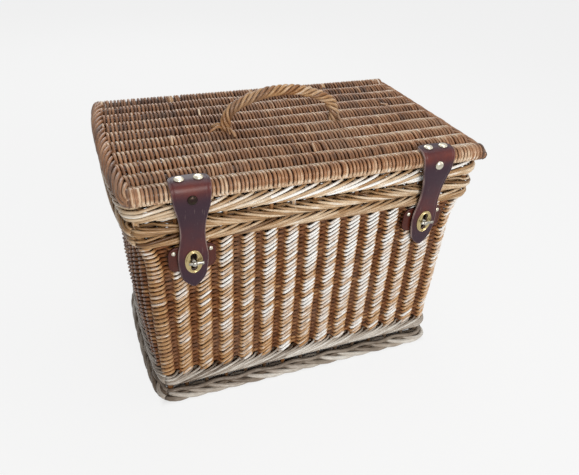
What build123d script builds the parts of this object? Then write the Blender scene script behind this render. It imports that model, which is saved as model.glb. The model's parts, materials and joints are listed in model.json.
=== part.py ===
"""Woven willow hamper with a hinged flat lid, a roped bow handle and two leather straps with turn-locks.

Millimetres. The origin is the middle of the footprint on the floor, +X is to the right as seen from
the front, the front faces -Y and +Z is up.
"""

import os
from math import acos, atan2, cos, degrees, hypot, radians, sin, sqrt, tan

from build123d import *

# Basket walls: width and depth are across the outer faces at the top of the wall weave
body_width = 414.0
body_depth = 264.0
wall_lean = 2.05
wall_thick = 14.0
corner_radius = 16.0

# Heights of the basket's layers, from the floor up
foot_border_height = 14.0
foot_gap = 10.0
upsett_height = 20.0
wall_height = 208.0
top_wale_height = 22.0
top_gap = 14.6
top_border_height = 20.8

# How far the thicker bands stand out from the wall weave
foot_proud = 6.0
upsett_proud = 4.0
top_proud = 4.0
top_end_proud = 9.0

# Upright willow: stakes in each wall and a post in each corner
stake_radius = 3.5
front_stake_count = 13
front_stake_margin = 39.0
back_stake_count = 12
back_stake_margin = 42.0
side_stake_count = 8
side_stake_margin = 34.0
stake_foot_seat = 7.0
stake_top_seat = 8.0
post_radius = 4.2
post_inset = 9.0
post_top_seat = 1.2

# Base panel, held inside the upsett
base_thick = 14.0
base_rise = 3.0
base_stick_radius = 4.5
base_stick_count = 7
base_stick_margin = 14.5
base_stick_seat = 3.0

# Round rail along the back of the rim and the loops that hinge the lid on it
rail_radius = 8.5
rail_seat = 8.0
rail_stake_seat = 4.5
loop_count = 3
loop_stake_span = 4
loop_width = 8.0
loop_thick = 3.5
loop_room = 1.0
loop_front_room = 3.5

# Lid, which stands out past the walls all round
lid_end_overhang = 18.0
lid_edge_overhang = 12.5
lid_edge_height = 23.0
lid_edge_depth = 18.0
lid_plate_thick = 15.0
lid_web_thick = 7.0
lid_edge_round = 9.0
lid_end_width = 19.0
lid_end_round = 5.0
edge_stick_radius = 7.0
lid_stick_radius = 4.0
lid_stick_count = 8
lid_stick_margin = 22.4
lid_stick_seat = 8.0

# Bow handle: a bent core with rods roped round it
handle_half_span = 76.0
handle_rise = 40.0
handle_shoulder = 28.0
handle_leg = 4.0
handle_offset = 4.0
bow_radius = 4.5
rope_radius = 7.0
tie_radius = 8.0
tie_height = 4.0
bow_tail = 6.0

# Leather straps
strap_stake_span = 5.5
leather_thick = 3.0
anchor_width = 46.0
anchor_reach = 21.0
anchor_round = 8.0
fold_width = 40.0
fold_drop = 2.7
fold_room = 0.6
waist_width = 29.5
waist_drop = 42.0
neck_width = 33.0
neck_drop = 57.0
belly_width = 36.0
belly_drop = 73.0
hip_width = 32.0
hip_drop = 90.0
strap_length = 112.0
tip_bow = 4.0
bend_rise = 17.5

# Dome-headed tacks that fix each strap to the lid's front stick
tack_spacing = 21.0
tack_shank_radius = 1.5
tack_head_radius = 5.7
tack_head_height = 2.8
tack_dome_round = 2.5
tack_length = 12.0
stud_drop = 15.7

# Turn-lock on each strap
lock_drop = 20.0
tab_width = 56.0
tab_height = 34.0
tab_round = 10.0
tab_rise = 1.0
tab_rivet_spacing = 43.0
tab_rivet_rise = 11.0
rivet_shank_radius = 1.5
rivet_head_radius = 3.0
rivet_head_height = 2.0
rivet_length = 10.0
base_plate_half_width = 9.5
base_plate_half_height = 14.5
base_plate_thick = 1.5
eyelet_half_width = 10.5
eyelet_half_height = 16.0
eyelet_thick = 1.5
eyelet_back_thick = 1.0
slot_length = 24.0
slot_width = 7.5
post_shaft_radius = 2.5
lug_long_end = 11.5
lug_short_end = 7.0
lug_width = 5.6
lug_thick = 4.0
lug_lift = 0.7
washer_radius = 7.0
washer_thick = 1.5
tail_radius = 4.0
tail_thick = 1.2

# Fits
rod_clearance = 0.3
seat_clearance = 0.2
hinge_clearance = 0.3
lid_clearance = 0.3
lock_clearance = 0.5

# Levels
lean = radians(wall_lean)
upsett_z = foot_border_height + foot_gap
wall_z = upsett_z + upsett_height
wall_top = wall_z + wall_height
top_wale_top = wall_top + top_wale_height
border_z = top_wale_top + top_gap
rim_z = border_z + top_border_height
lid_z = rim_z + lid_clearance
lid_top = lid_z + lid_edge_height
plate_z = lid_top - lid_plate_thick
base_z = upsett_z + base_rise
base_stick_z = base_z + base_thick / 2
lock_height = wall_top - lock_drop

# Spacing of the stakes, and places along the front
front_stake_pitch = (body_width - 2 * front_stake_margin) / (front_stake_count - 1)
back_stake_pitch = (body_width - 2 * back_stake_margin) / (back_stake_count - 1)
side_stake_pitch = (body_depth - 2 * side_stake_margin) / (side_stake_count - 1)
loop_pitch = loop_stake_span * back_stake_pitch
strap_offset = strap_stake_span * front_stake_pitch

sides = ("left", -1), ("right", 1)
outward = {"front": (0, -1), "back": (0, 1), "left": (-1, 0), "right": (1, 0)}
stake_rows = {
    "front": (front_stake_count, front_stake_pitch),
    "back": (back_stake_count, back_stake_pitch),
    "left": (side_stake_count, side_stake_pitch),
    "right": (side_stake_count, side_stake_pitch),
}


def half_width(z):
    """Half the basket's width over the wall faces at height z."""
    return body_width / 2 + (z - wall_top) * tan(lean)


def half_depth(z):
    """Half the basket's depth over the wall faces at height z."""
    return body_depth / 2 + (z - wall_top) * tan(lean)


def outer_outline(z, proud, end_proud):
    """Rounded plan outline of a band that stands out from the wall faces, by its own amount at the ends."""
    with BuildSketch(Plane.XY.offset(z)) as outline:
        RectangleRounded(2 * (half_width(z) + end_proud), 2 * (half_depth(z) + proud), corner_radius + proud)
    return outline.sketch


def inner_outline(z, inset):
    """Plan outline of the space left inside a wall or a band."""
    with BuildSketch(Plane.XY.offset(z)) as outline:
        Rectangle(2 * (half_width(z) - inset), 2 * (half_depth(z) - inset))
    return outline.sketch


def stake_plane(wall, z):
    """Plane across the stakes of one wall, in the middle of the wall's thickness at height z."""
    x, y = outward[wall]
    middle = wall_thick / 2
    return Plane(
        origin=(x * (half_width(z) - middle), y * (half_depth(z) - middle), z),
        x_dir=(abs(y), abs(x), 0),
        z_dir=(x * sin(lean), y * sin(lean), cos(lean)),
    )


def stakes(wall, radius, low, high):
    """The row of stakes of one wall between two heights, following the wall's lean."""
    count, pitch = stake_rows[wall]
    with BuildPart() as row:
        with BuildSketch(stake_plane(wall, low)):
            with GridLocations(pitch, pitch, count, 1):
                Circle(radius)
        extrude(amount=(high - low) / cos(lean))
    return row.part


def posts(radius, low, high):
    """The four corner posts between two heights, leaning out along the corners."""
    slope = tan(lean)
    stretch = sqrt(1 + 2 * slope * slope)
    with BuildPart() as corners:
        for x in (-1, 1):
            for y in (-1, 1):
                foot = (x * (half_width(low) - post_inset), y * (half_depth(low) - post_inset), low)
                with BuildSketch(Plane(origin=foot, z_dir=(x * slope, y * slope, 1))):
                    Circle(radius)
                extrude(amount=(high - low) * stretch)
    return corners.part


def uprights(low, high, walls=("front", "back", "left", "right")):
    """Channels for the stakes of some walls and for the corner posts between two heights."""
    with BuildPart() as channels:
        for wall in walls:
            add(stakes(wall, stake_radius + rod_clearance, low, high))
        add(posts(post_radius + rod_clearance, low, high))
    return channels.part


def finish(piece, name):
    """Label a finished piece and write it."""
    piece.part.label = name
    export_step(piece.part, f"parts/{name}.step")


os.makedirs("parts", exist_ok=True)

# Lid over the rim, and the spacing of the sticks in the base and the lid
lid_width = 2 * (half_width(rim_z) + lid_end_overhang)
lid_depth = 2 * (half_depth(rim_z) + lid_edge_overhang)
base_half_width = half_width(base_stick_z) - wall_thick
base_half_depth = half_depth(base_stick_z) - wall_thick
base_stick_pitch = 2 * (base_half_depth - base_stick_margin) / (base_stick_count - 1)
lid_stick_pitch = (lid_depth - 2 * lid_edge_depth - 2 * lid_stick_margin) / (lid_stick_count - 1)

# Hinge line: the rail's middle, set so that the rim's round back edge is concentric with it
rail_z = (border_z + rim_z) / 2
rim_back_radius = top_border_height / 2
rail_y = half_depth(rail_z) + top_proud - rim_back_radius
rail_half_length = half_width(rim_z) - wall_thick + rail_seat

# Seats of the uprights
stake_low = foot_border_height - stake_foot_seat
stake_high = border_z + stake_top_seat
back_stake_high = rail_z - rail_radius + rail_stake_seat
post_high = border_z + post_top_seat

# Border of the foot, the flat ring that the hamper stands on
with BuildPart() as foot_border:
    extrude(
        outer_outline(foot_border_height, foot_proud, foot_proud),
        amount=-foot_border_height,
        taper=wall_lean,
    )
    extrude(
        inner_outline(foot_border_height, wall_thick),
        amount=-foot_border_height,
        taper=wall_lean,
        mode=Mode.SUBTRACT,
    )
    add(uprights(stake_low - rod_clearance, upsett_z), mode=Mode.SUBTRACT)
finish(foot_border, "foot_border")

# Upsett: the waled band at the bottom of the walls, which holds the base
base_stick_length = 2 * (base_half_width + base_stick_seat)
with BuildSketch(Plane.YZ.offset(-base_stick_length / 2 - rod_clearance)) as base_channels:
    with Locations((0, base_stick_z)):
        with GridLocations(base_stick_pitch, base_stick_pitch, base_stick_count, 1):
            Circle(base_stick_radius + rod_clearance)
with BuildPart() as upsett_wale:
    extrude(outer_outline(wall_z, upsett_proud, upsett_proud), amount=-upsett_height, taper=wall_lean)
    extrude(inner_outline(wall_z, wall_thick), amount=-upsett_height, taper=wall_lean, mode=Mode.SUBTRACT)
    add(uprights(foot_border_height, wall_top), mode=Mode.SUBTRACT)
    extrude(base_channels.sketch, amount=base_stick_length + 2 * rod_clearance, mode=Mode.SUBTRACT)
finish(upsett_wale, "upsett_wale")

with BuildPart() as base_weave:
    extrude(
        inner_outline(base_z + base_thick, wall_thick + seat_clearance),
        amount=-base_thick,
        taper=wall_lean,
    )
    extrude(base_channels.sketch, amount=base_stick_length + 2 * rod_clearance, mode=Mode.SUBTRACT)
finish(base_weave, "base_weave")

with BuildPart() as base_sticks:
    with BuildSketch(Plane.YZ.offset(-base_stick_length / 2)):
        with Locations((0, base_stick_z)):
            with GridLocations(base_stick_pitch, base_stick_pitch, base_stick_count, 1):
                Circle(base_stick_radius)
    extrude(amount=base_stick_length)
finish(base_sticks, "base_sticks")

# Stakes and corner posts
for wall in outward:
    high = back_stake_high if wall == "back" else stake_high
    with BuildPart() as wall_stakes:
        add(stakes(wall, stake_radius, stake_low, high))
    finish(wall_stakes, f"{wall}_stakes")

with BuildPart() as corner_posts:
    add(posts(post_radius, stake_low, post_high))
finish(corner_posts, "corner_posts")


def lock_plane(side):
    """Plane on the front wall's outer face at one turn-lock, facing out."""
    return Plane(
        origin=(side * strap_offset, -half_depth(lock_height), lock_height),
        x_dir=(1, 0, 0),
        z_dir=(0, -cos(lean), -sin(lean)),
    )


# Wall weave: four woven walls that meet on the mitres through the corner posts
mitre_x = body_width / 2 - body_depth / 2
reach = wall_height
far_x = body_width / 2 + reach
far_y = body_depth / 2 + reach
wedges = {
    "front": [(-far_x, -far_y), (far_x, -far_y), (mitre_x, 0), (-mitre_x, 0)],
    "back": [(far_x, far_y), (-far_x, far_y), (-mitre_x, 0), (mitre_x, 0)],
    "left": [(-far_x, far_y), (-far_x, -far_y), (-mitre_x, 0)],
    "right": [(far_x, -far_y), (far_x, far_y), (mitre_x, 0)],
}
for wall, corners in wedges.items():
    with BuildPart() as wall_weave:
        extrude(outer_outline(wall_top, 0, 0), amount=-wall_height, taper=wall_lean)
        extrude(inner_outline(wall_top, wall_thick), amount=-wall_height, taper=wall_lean, mode=Mode.SUBTRACT)
        with BuildSketch(Plane.XY.offset(wall_z)):
            Polygon(*corners, align=None)
        extrude(amount=wall_height, mode=Mode.INTERSECT)
        add(uprights(upsett_z, top_wale_top, walls=(wall,)), mode=Mode.SUBTRACT)
        if wall == "front":
            for _, side in sides:
                with BuildSketch(lock_plane(side)):
                    Circle(post_shaft_radius + rod_clearance)
                extrude(amount=-2 * wall_thick, mode=Mode.SUBTRACT)
                with BuildSketch(lock_plane(side)):
                    with Locations((0, tab_rivet_rise)):
                        with GridLocations(tab_rivet_spacing, tab_height, 2, 1):
                            Circle(rivet_shank_radius + rod_clearance)
                extrude(amount=-rivet_length, mode=Mode.SUBTRACT)
    finish(wall_weave, f"{wall}_weave")

# Waled band at the top of the walls
with BuildPart() as top_wale:
    extrude(outer_outline(top_wale_top, top_proud, top_end_proud), amount=-top_wale_height, taper=wall_lean)
    extrude(
        inner_outline(top_wale_top, wall_thick),
        amount=-top_wale_height,
        taper=wall_lean,
        mode=Mode.SUBTRACT,
    )
    add(uprights(wall_z, border_z), mode=Mode.SUBTRACT)
finish(top_wale, "top_wale")

# Rim border: closed at the front and the sides, open at the back where the rail runs between its arms
with BuildPart() as top_border:
    extrude(outer_outline(rim_z, top_proud, top_end_proud), amount=-top_border_height, taper=wall_lean)
    extrude(inner_outline(rim_z, wall_thick), amount=-top_border_height, taper=wall_lean, mode=Mode.SUBTRACT)
    with BuildSketch(Plane.XY.offset(rim_z)):
        with Locations((0, body_depth)):
            Rectangle(2 * (half_width(rim_z) - wall_thick), 2 * body_depth)
    extrude(amount=-top_border_height, taper=wall_lean, mode=Mode.SUBTRACT)
    with BuildSketch(Plane.YZ):
        with Locations((rail_y, rail_z)):
            Rectangle(2 * top_border_height, 2 * top_border_height, align=(Align.MIN, Align.CENTER))
            Circle(rim_back_radius, mode=Mode.SUBTRACT)
    extrude(amount=body_width, both=True, mode=Mode.SUBTRACT)
    with BuildSketch(Plane.YZ):
        with Locations((rail_y, rail_z)):
            Circle(rail_radius + seat_clearance)
    extrude(amount=rail_half_length + seat_clearance, both=True, mode=Mode.SUBTRACT)
    for wall in ("front", "left", "right"):
        row = stakes(wall, stake_radius + rod_clearance, top_wale_top, stake_high + rod_clearance)
        add(row, mode=Mode.SUBTRACT)
    add(posts(post_radius + rod_clearance, top_wale_top, post_high + rod_clearance), mode=Mode.SUBTRACT)
finish(top_border, "top_border")

with BuildPart() as hinge_rail:
    with BuildSketch(Plane.YZ):
        with Locations((rail_y, rail_z)):
            Circle(rail_radius)
    extrude(amount=rail_half_length, both=True)
    row = stakes("back", stake_radius + rod_clearance, top_wale_top, back_stake_high + rod_clearance)
    add(row, mode=Mode.SUBTRACT)
finish(hinge_rail, "hinge_rail")

# Lid: sticks along its length, the weave that rises in a rib over each of them, and plaited end borders
weave_half_width = lid_width / 2 - lid_end_width
edge_stick_y = lid_depth / 2 - (lid_edge_height / 2 - edge_stick_radius) - edge_stick_radius
edge_stick_z = lid_z + lid_edge_height / 2
lid_stick_z = plate_z + lid_plate_thick / 2
lid_stick_half_length = weave_half_width + lid_stick_seat
handle_y = -handle_offset


def lid_stick_section(radius):
    """Section across the row of the lid's inner sticks."""
    with BuildSketch(Plane.YZ) as section:
        with Locations((0, lid_stick_z)):
            with GridLocations(lid_stick_pitch, lid_stick_pitch, lid_stick_count, 1):
                Circle(radius)
    return section.sketch


def edge_stick_section(y, radius):
    """Section across one of the lid's thick edge sticks."""
    with BuildSketch(Plane.YZ) as section:
        with Locations((y, edge_stick_z)):
            Circle(radius)
    return section.sketch


def tack_planes(side):
    """Planes on the strap's leather where its tacks sit, facing along each tack into the lid."""
    x = side * strap_offset
    top = lid_top + seat_clearance + leather_thick
    front = -lid_depth / 2 - seat_clearance - leather_thick
    stud_z = lid_top - stud_drop
    return [
        Plane(origin=(x - tack_spacing / 2, -edge_stick_y, top), x_dir=(1, 0, 0), z_dir=(0, 0, -1)),
        Plane(origin=(x + tack_spacing / 2, -edge_stick_y, top), x_dir=(1, 0, 0), z_dir=(0, 0, -1)),
        Plane(origin=(x, front, stud_z), x_dir=(1, 0, 0), z_dir=(0, 1, 0)),
    ]


def tack_holes():
    """Holes for the shanks of all the tacks."""
    with BuildPart() as holes:
        for _, side in sides:
            for plane in tack_planes(side):
                with BuildSketch(plane):
                    Circle(tack_shank_radius + rod_clearance)
                extrude(amount=tack_length + rod_clearance)
    return holes.part


loop_notch = loop_thick + seat_clearance + loop_front_room
with BuildPart() as lid_weave:
    with BuildSketch(Plane.YZ):
        with Locations((0, lid_z)):
            Rectangle(lid_depth, lid_edge_height, align=(Align.CENTER, Align.MIN))
        fillet(vertices(), lid_edge_round)
        with Locations((0, lid_z)):
            Rectangle(
                lid_depth - 2 * lid_edge_depth,
                lid_edge_height,
                align=(Align.CENTER, Align.MIN),
                mode=Mode.SUBTRACT,
            )
        with Locations((0, lid_stick_z)):
            Rectangle(lid_depth - 2 * lid_edge_depth + lid_web_thick, lid_web_thick)
            with GridLocations(lid_stick_pitch, lid_stick_pitch, lid_stick_count, 1):
                Circle(lid_plate_thick / 2)
    extrude(amount=weave_half_width, both=True)
    channels = lid_stick_section(lid_stick_radius + rod_clearance)
    extrude(channels, amount=lid_width, both=True, mode=Mode.SUBTRACT)
    for y in (-edge_stick_y, edge_stick_y):
        channel = edge_stick_section(y, edge_stick_radius + rod_clearance)
        extrude(channel, amount=lid_width, both=True, mode=Mode.SUBTRACT)
    with BuildSketch(Plane.XY.offset(lid_z)):
        with Locations((0, edge_stick_y - edge_stick_radius - loop_notch)):
            with GridLocations(loop_pitch, lid_depth, loop_count, 1):
                Rectangle(loop_width + 2 * loop_room, lid_depth, align=(Align.CENTER, Align.MIN))
    extrude(amount=lid_edge_height, mode=Mode.SUBTRACT)
    with BuildSketch(Plane.XY.offset(plate_z)):
        with Locations((0, handle_y)):
            with GridLocations(2 * handle_half_span, lid_depth, 2, 1):
                Circle(bow_radius + rod_clearance)
    extrude(amount=lid_plate_thick, mode=Mode.SUBTRACT)
    add(tack_holes(), mode=Mode.SUBTRACT)
finish(lid_weave, "lid_weave")

with BuildPart() as lid_sticks:
    extrude(lid_stick_section(lid_stick_radius), amount=lid_stick_half_length, both=True)
finish(lid_sticks, "lid_sticks")

with BuildPart() as lid_front_stick:
    extrude(edge_stick_section(-edge_stick_y, edge_stick_radius), amount=lid_stick_half_length, both=True)
    add(tack_holes(), mode=Mode.SUBTRACT)
finish(lid_front_stick, "lid_front_stick")

with BuildPart() as lid_back_stick:
    extrude(edge_stick_section(edge_stick_y, edge_stick_radius), amount=lid_stick_half_length, both=True)
finish(lid_back_stick, "lid_back_stick")

for name, side in sides:
    with BuildPart() as lid_end_border:
        with BuildSketch(Plane.YZ.offset(side * weave_half_width)):
            with Locations((0, lid_z)):
                Rectangle(lid_depth, lid_edge_height, align=(Align.CENTER, Align.MIN))
            fillet(vertices(), lid_edge_round)
        extrude(amount=side * lid_end_width)
        fillet(faces().sort_by(Axis.X)[-1 if side > 0 else 0].edges(), lid_end_round)
        hole_depth = lid_stick_half_length + rod_clearance
        channels = lid_stick_section(lid_stick_radius + rod_clearance)
        extrude(channels, amount=side * hole_depth, mode=Mode.SUBTRACT)
        for y in (-edge_stick_y, edge_stick_y):
            channel = edge_stick_section(y, edge_stick_radius + rod_clearance)
            extrude(channel, amount=side * hole_depth, mode=Mode.SUBTRACT)
    finish(lid_end_border, f"lid_{name}_border")


def loop_outline(x, spread):
    """Oval round the rail and the lid's back stick at one place along them, a given distance off both."""
    with BuildSketch(Plane.YZ.offset(x)) as outline:
        with BuildLine():
            CenterArc((rail_y, rail_z), rail_radius + hinge_clearance + spread, 0, 360)
            CenterArc((edge_stick_y, edge_stick_z), edge_stick_radius + seat_clearance + spread, 0, 360)
        make_hull()
    return outline.sketch


loop_names = "left", "middle", "right"
for index, name in enumerate(loop_names[:loop_count]):
    loop_x = (index - (loop_count - 1) / 2) * loop_pitch
    with BuildPart() as hinge_loop:
        extrude(loop_outline(loop_x, loop_thick), amount=loop_width / 2, both=True)
        extrude(loop_outline(loop_x, 0), amount=loop_width / 2, both=True, mode=Mode.SUBTRACT)
    finish(hinge_loop, f"hinge_loop_{name}")

# Bow handle: straight legs through the lid, round shoulders and a flatter crown
crown_drop = ((handle_half_span - handle_shoulder) ** 2 - (handle_rise - handle_shoulder) ** 2) / (
    2 * (handle_rise - handle_shoulder)
)
crown_radius = handle_rise + crown_drop
shoulder_turn = degrees(acos((handle_half_span - handle_shoulder) / (crown_radius - handle_shoulder)))
crown_turn = 180 - 2 * shoulder_turn
tie_z = plate_z - seat_clearance - tie_height
bow_z = plate_z - bow_tail
rope_z = lid_top + seat_clearance


def bow_line(foot_z):
    """Middle line of the handle between its two feet at a given height."""
    with BuildLine(Plane.XZ.offset(handle_offset)) as line:
        left_leg = Line((-handle_half_span, foot_z), (-handle_half_span, lid_top + handle_leg))
        left_shoulder = JernArc(left_leg @ 1, left_leg % 1, handle_shoulder, -shoulder_turn)
        crown = JernArc(left_shoulder @ 1, left_shoulder % 1, crown_radius, -crown_turn)
        right_shoulder = JernArc(crown @ 1, crown % 1, handle_shoulder, -shoulder_turn)
        Line(right_shoulder @ 1, (handle_half_span, foot_z))
    return line.wire()


def bow_section(foot_z, radius):
    """Round section at the left foot of the handle."""
    with BuildSketch(Plane(origin=(-handle_half_span, handle_y, foot_z))) as section:
        Circle(radius)
    return section.sketch


with BuildPart() as handle_bow:
    sweep(bow_section(bow_z, bow_radius), path=bow_line(bow_z))
finish(handle_bow, "handle_bow")

with BuildPart() as handle_rope:
    sweep(bow_section(rope_z, rope_radius), path=bow_line(rope_z))
    sweep(bow_section(rope_z, bow_radius + seat_clearance), path=bow_line(rope_z), mode=Mode.SUBTRACT)
finish(handle_rope, "handle_rope")

with BuildPart() as handle_ties:
    with BuildSketch(Plane.XY.offset(tie_z)):
        with Locations((0, handle_y)):
            with GridLocations(2 * handle_half_span, lid_depth, 2, 1):
                Circle(tie_radius)
                Circle(bow_radius + seat_clearance, mode=Mode.SUBTRACT)
    extrude(amount=tie_height)
finish(handle_ties, "handle_ties")

# Straps: each folds on a line just below the lid's front edge
fold_y = -lid_depth / 2 - seat_clearance - leather_thick / 2
fold_z = lid_z - fold_drop
anchor_low = fold_z + leather_thick / 2 + fold_room
strap_front = lid_depth / 2 + lid_edge_height
tab_face = leather_thick
base_plate_face = tab_face + base_plate_thick
eyelet_back_face = base_plate_face + lock_clearance
flap_back = eyelet_back_face + eyelet_back_thick
flap_front = flap_back + leather_thick
eyelet_face = flap_front + eyelet_thick
lug_face = eyelet_face + lug_lift
wall_inside = -wall_thick * cos(lean)


def strap_plane(side):
    """Upright plane in front of one strap, with its origin level with the fold."""
    return Plane(origin=(side * strap_offset, -strap_front, fold_z), x_dir=(1, 0, 0), z_dir=(0, -1, 0))


def strip(x, start, end):
    """Section of a strip of leather across x, along a straight line between two points of Y and Z."""
    (y0, z0), (y1, z1) = start, end
    middle = ((y0 + y1) / 2, (z0 + z1) / 2)
    length = hypot(y1 - y0, z1 - z0)
    tilt = degrees(atan2(z1 - z0, y1 - y0))
    with BuildSketch(Plane.YZ.offset(x)) as section:
        with Locations(middle):
            SlotCenterToCenter(length, leather_thick, rotation=tilt)
    return section.sketch


# Middle of the leather at the lock, and the points where the flap bends and where its strip ends
leather_middle = (flap_back + flap_front) / 2
lock_y = -half_depth(lock_height) - leather_middle * cos(lean)
lock_z = lock_height - leather_middle * sin(lean)
bend = (lock_y - bend_rise * sin(lean), lock_z + bend_rise * cos(lean))
tip_drop = lock_z - (fold_z - strap_length) + leather_thick
strip_end = (lock_y + tip_drop * sin(lean), lock_z - tip_drop * cos(lean))

# The strap's bend over the lid's front edge
round_y = -lid_depth / 2 + lid_edge_round
round_z = lid_top - lid_edge_round
inner_round = lid_edge_round + seat_clearance
outer_round = inner_round + leather_thick
anchor_rear = -lid_depth / 2 + anchor_reach

for name, side in sides:
    with BuildPart() as strap_anchor:
        with BuildSketch(Plane.YZ.offset(side * strap_offset)):
            with BuildLine():
                Line((anchor_rear, round_z + inner_round), (anchor_rear, round_z + outer_round))
                Line((anchor_rear, round_z + outer_round), (round_y, round_z + outer_round))
                CenterArc((round_y, round_z), outer_round, 90, 90)
                Line((round_y - outer_round, round_z), (round_y - outer_round, anchor_low))
                Line((round_y - outer_round, anchor_low), (round_y - inner_round, anchor_low))
                Line((round_y - inner_round, anchor_low), (round_y - inner_round, round_z))
                CenterArc((round_y, round_z), inner_round, 90, 90)
                Line((round_y, round_z + inner_round), (anchor_rear, round_z + inner_round))
            make_face()
        extrude(amount=anchor_width / 2, both=True)
        rear_edges = edges().filter_by(Axis.Z).group_by(Axis.Y)[-1]
        fillet(rear_edges, anchor_round)
        with BuildSketch(strap_plane(side)):
            with BuildLine():
                Polyline(
                    (-anchor_width / 2, lid_top + lid_edge_height - fold_z),
                    (-anchor_width / 2, lid_top - fold_z),
                    (-fold_width / 2, 0),
                    (fold_width / 2, 0),
                    (anchor_width / 2, lid_top - fold_z),
                    (anchor_width / 2, lid_top + lid_edge_height - fold_z),
                    close=True,
                )
            make_face()
        extrude(amount=-2 * strap_front, mode=Mode.INTERSECT)
        add(tack_holes(), mode=Mode.SUBTRACT)
    finish(strap_anchor, f"strap_anchor_{name}")

    with BuildPart() as strap_tacks:
        for plane in tack_planes(side):
            with BuildSketch(plane):
                Circle(tack_shank_radius)
            extrude(amount=tack_length)
            with BuildSketch(plane):
                Circle(tack_head_radius)
            extrude(amount=-tack_head_height)
            crown = edges(Select.LAST).sort_by(Axis(plane.origin, plane.z_dir))[0]
            fillet(crown, tack_dome_round)
    finish(strap_tacks, f"strap_tacks_{name}")

    with BuildPart() as strap_flap:
        extrude(strip(side * strap_offset, (fold_y, fold_z), bend), amount=fold_width / 2, both=True)
        extrude(strip(side * strap_offset, bend, strip_end), amount=fold_width / 2, both=True)
        with BuildSketch(strap_plane(side)):
            with BuildLine():
                top = Line((0, leather_thick), (fold_width / 2, leather_thick))
                shoulder = Line(top @ 1, (fold_width / 2, 0))
                waist = ThreePointArc(
                    shoulder @ 1, (waist_width / 2, -waist_drop), (neck_width / 2, -neck_drop)
                )
                belly = ThreePointArc(
                    waist @ 1, (belly_width / 2, -belly_drop), (hip_width / 2, -hip_drop)
                )
                tip_middle = (hip_width / 4 + tip_bow, -(hip_drop + strap_length) / 2 - tip_bow)
                ThreePointArc(belly @ 1, tip_middle, (0, -strap_length))
                mirror(about=Plane.YZ)
            make_face()
        extrude(amount=-2 * strap_front, mode=Mode.INTERSECT)
        with BuildSketch(lock_plane(side)):
            SlotOverall(slot_length, slot_width, rotation=90)
        extrude(amount=eyelet_face, mode=Mode.SUBTRACT)
    finish(strap_flap, f"strap_flap_{name}")

    # Brass eyelet, a plate on each face of the strap
    with BuildPart() as eyelet_plate:
        with BuildSketch(lock_plane(side).offset(flap_front)):
            Ellipse(eyelet_half_width, eyelet_half_height)
            SlotOverall(slot_length, slot_width, rotation=90, mode=Mode.SUBTRACT)
        extrude(amount=eyelet_thick)
    finish(eyelet_plate, f"eyelet_plate_{name}")

    with BuildPart() as eyelet_back:
        with BuildSketch(lock_plane(side).offset(eyelet_back_face)):
            Ellipse(eyelet_half_width, eyelet_half_height)
            SlotOverall(slot_length, slot_width, rotation=90, mode=Mode.SUBTRACT)
        extrude(amount=eyelet_back_thick)
    finish(eyelet_back, f"eyelet_back_{name}")

    # Leather keeper tab riveted to the wall behind the lock
    with BuildPart() as keeper_tab:
        with BuildSketch(lock_plane(side)):
            with Locations((0, tab_rise)):
                RectangleRounded(tab_width, tab_height, tab_round)
            Circle(post_shaft_radius + rod_clearance, mode=Mode.SUBTRACT)
            with Locations((0, tab_rivet_rise)):
                with GridLocations(tab_rivet_spacing, tab_height, 2, 1):
                    Circle(rivet_shank_radius + rod_clearance, mode=Mode.SUBTRACT)
        extrude(amount=leather_thick)
    finish(keeper_tab, f"keeper_tab_{name}")

    with BuildPart() as tab_rivets:
        with BuildSketch(lock_plane(side).offset(tab_face)):
            with Locations((0, tab_rivet_rise)):
                with GridLocations(tab_rivet_spacing, tab_height, 2, 1):
                    Circle(rivet_head_radius)
        extrude(amount=rivet_head_height)
        with BuildSketch(lock_plane(side).offset(tab_face)):
            with Locations((0, tab_rivet_rise)):
                with GridLocations(tab_rivet_spacing, tab_height, 2, 1):
                    Circle(rivet_shank_radius)
        extrude(amount=-rivet_length)
    finish(tab_rivets, f"tab_rivets_{name}")

    # Turn-lock: a base plate on the tab, and a button on a post that goes through the wall to a washer
    with BuildPart() as lock_base:
        with BuildSketch(lock_plane(side).offset(tab_face)):
            Ellipse(base_plate_half_width, base_plate_half_height)
            Circle(post_shaft_radius + rod_clearance, mode=Mode.SUBTRACT)
        extrude(amount=base_plate_thick)
    finish(lock_base, f"lock_base_{name}")

    with BuildPart() as lock_washer:
        with BuildSketch(lock_plane(side).offset(wall_inside)):
            Circle(washer_radius)
            Circle(post_shaft_radius + rod_clearance, mode=Mode.SUBTRACT)
        extrude(amount=-washer_thick)
    finish(lock_washer, f"lock_washer_{name}")

    tail_face = wall_inside - washer_thick - rod_clearance
    with BuildPart() as turn_button:
        with BuildSketch(lock_plane(side).offset(tail_face)):
            Circle(post_shaft_radius)
        extrude(amount=lug_face - tail_face)
        with BuildSketch(lock_plane(side).offset(tail_face)):
            Circle(tail_radius)
        extrude(amount=-tail_thick)
        with BuildSketch(lock_plane(side).offset(lug_face)):
            with Locations(((lug_long_end - lug_short_end) / 2, 0)):
                SlotOverall(lug_long_end + lug_short_end, lug_width)
        extrude(amount=lug_thick)
        outward_axis = Axis(lock_plane(side).origin, lock_plane(side).z_dir)
        fillet(faces().sort_by(outward_axis)[-1].edges(), lug_width / 4)
    finish(turn_button, f"turn_button_{name}")

print(f"hinge line y {rail_y:.2f} z {rail_z:.2f}, strap fold y {fold_y:.2f} z {fold_z:.2f}")
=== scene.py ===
"""Dresses a willow hamper: woven walls and lid, waled bands, roped handle, leather straps, brass locks.

The frame's solids give every place. Lengths inside the builders are millimetres, and meshes are in metres.
"""

import json
from math import acos, cos, degrees, exp, hypot, pi, radians, sin, sqrt, tan

import bpy
import numpy as np
from bpy.props import FloatProperty, FloatVectorProperty, PointerProperty
from mathutils import Matrix, Vector


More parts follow.
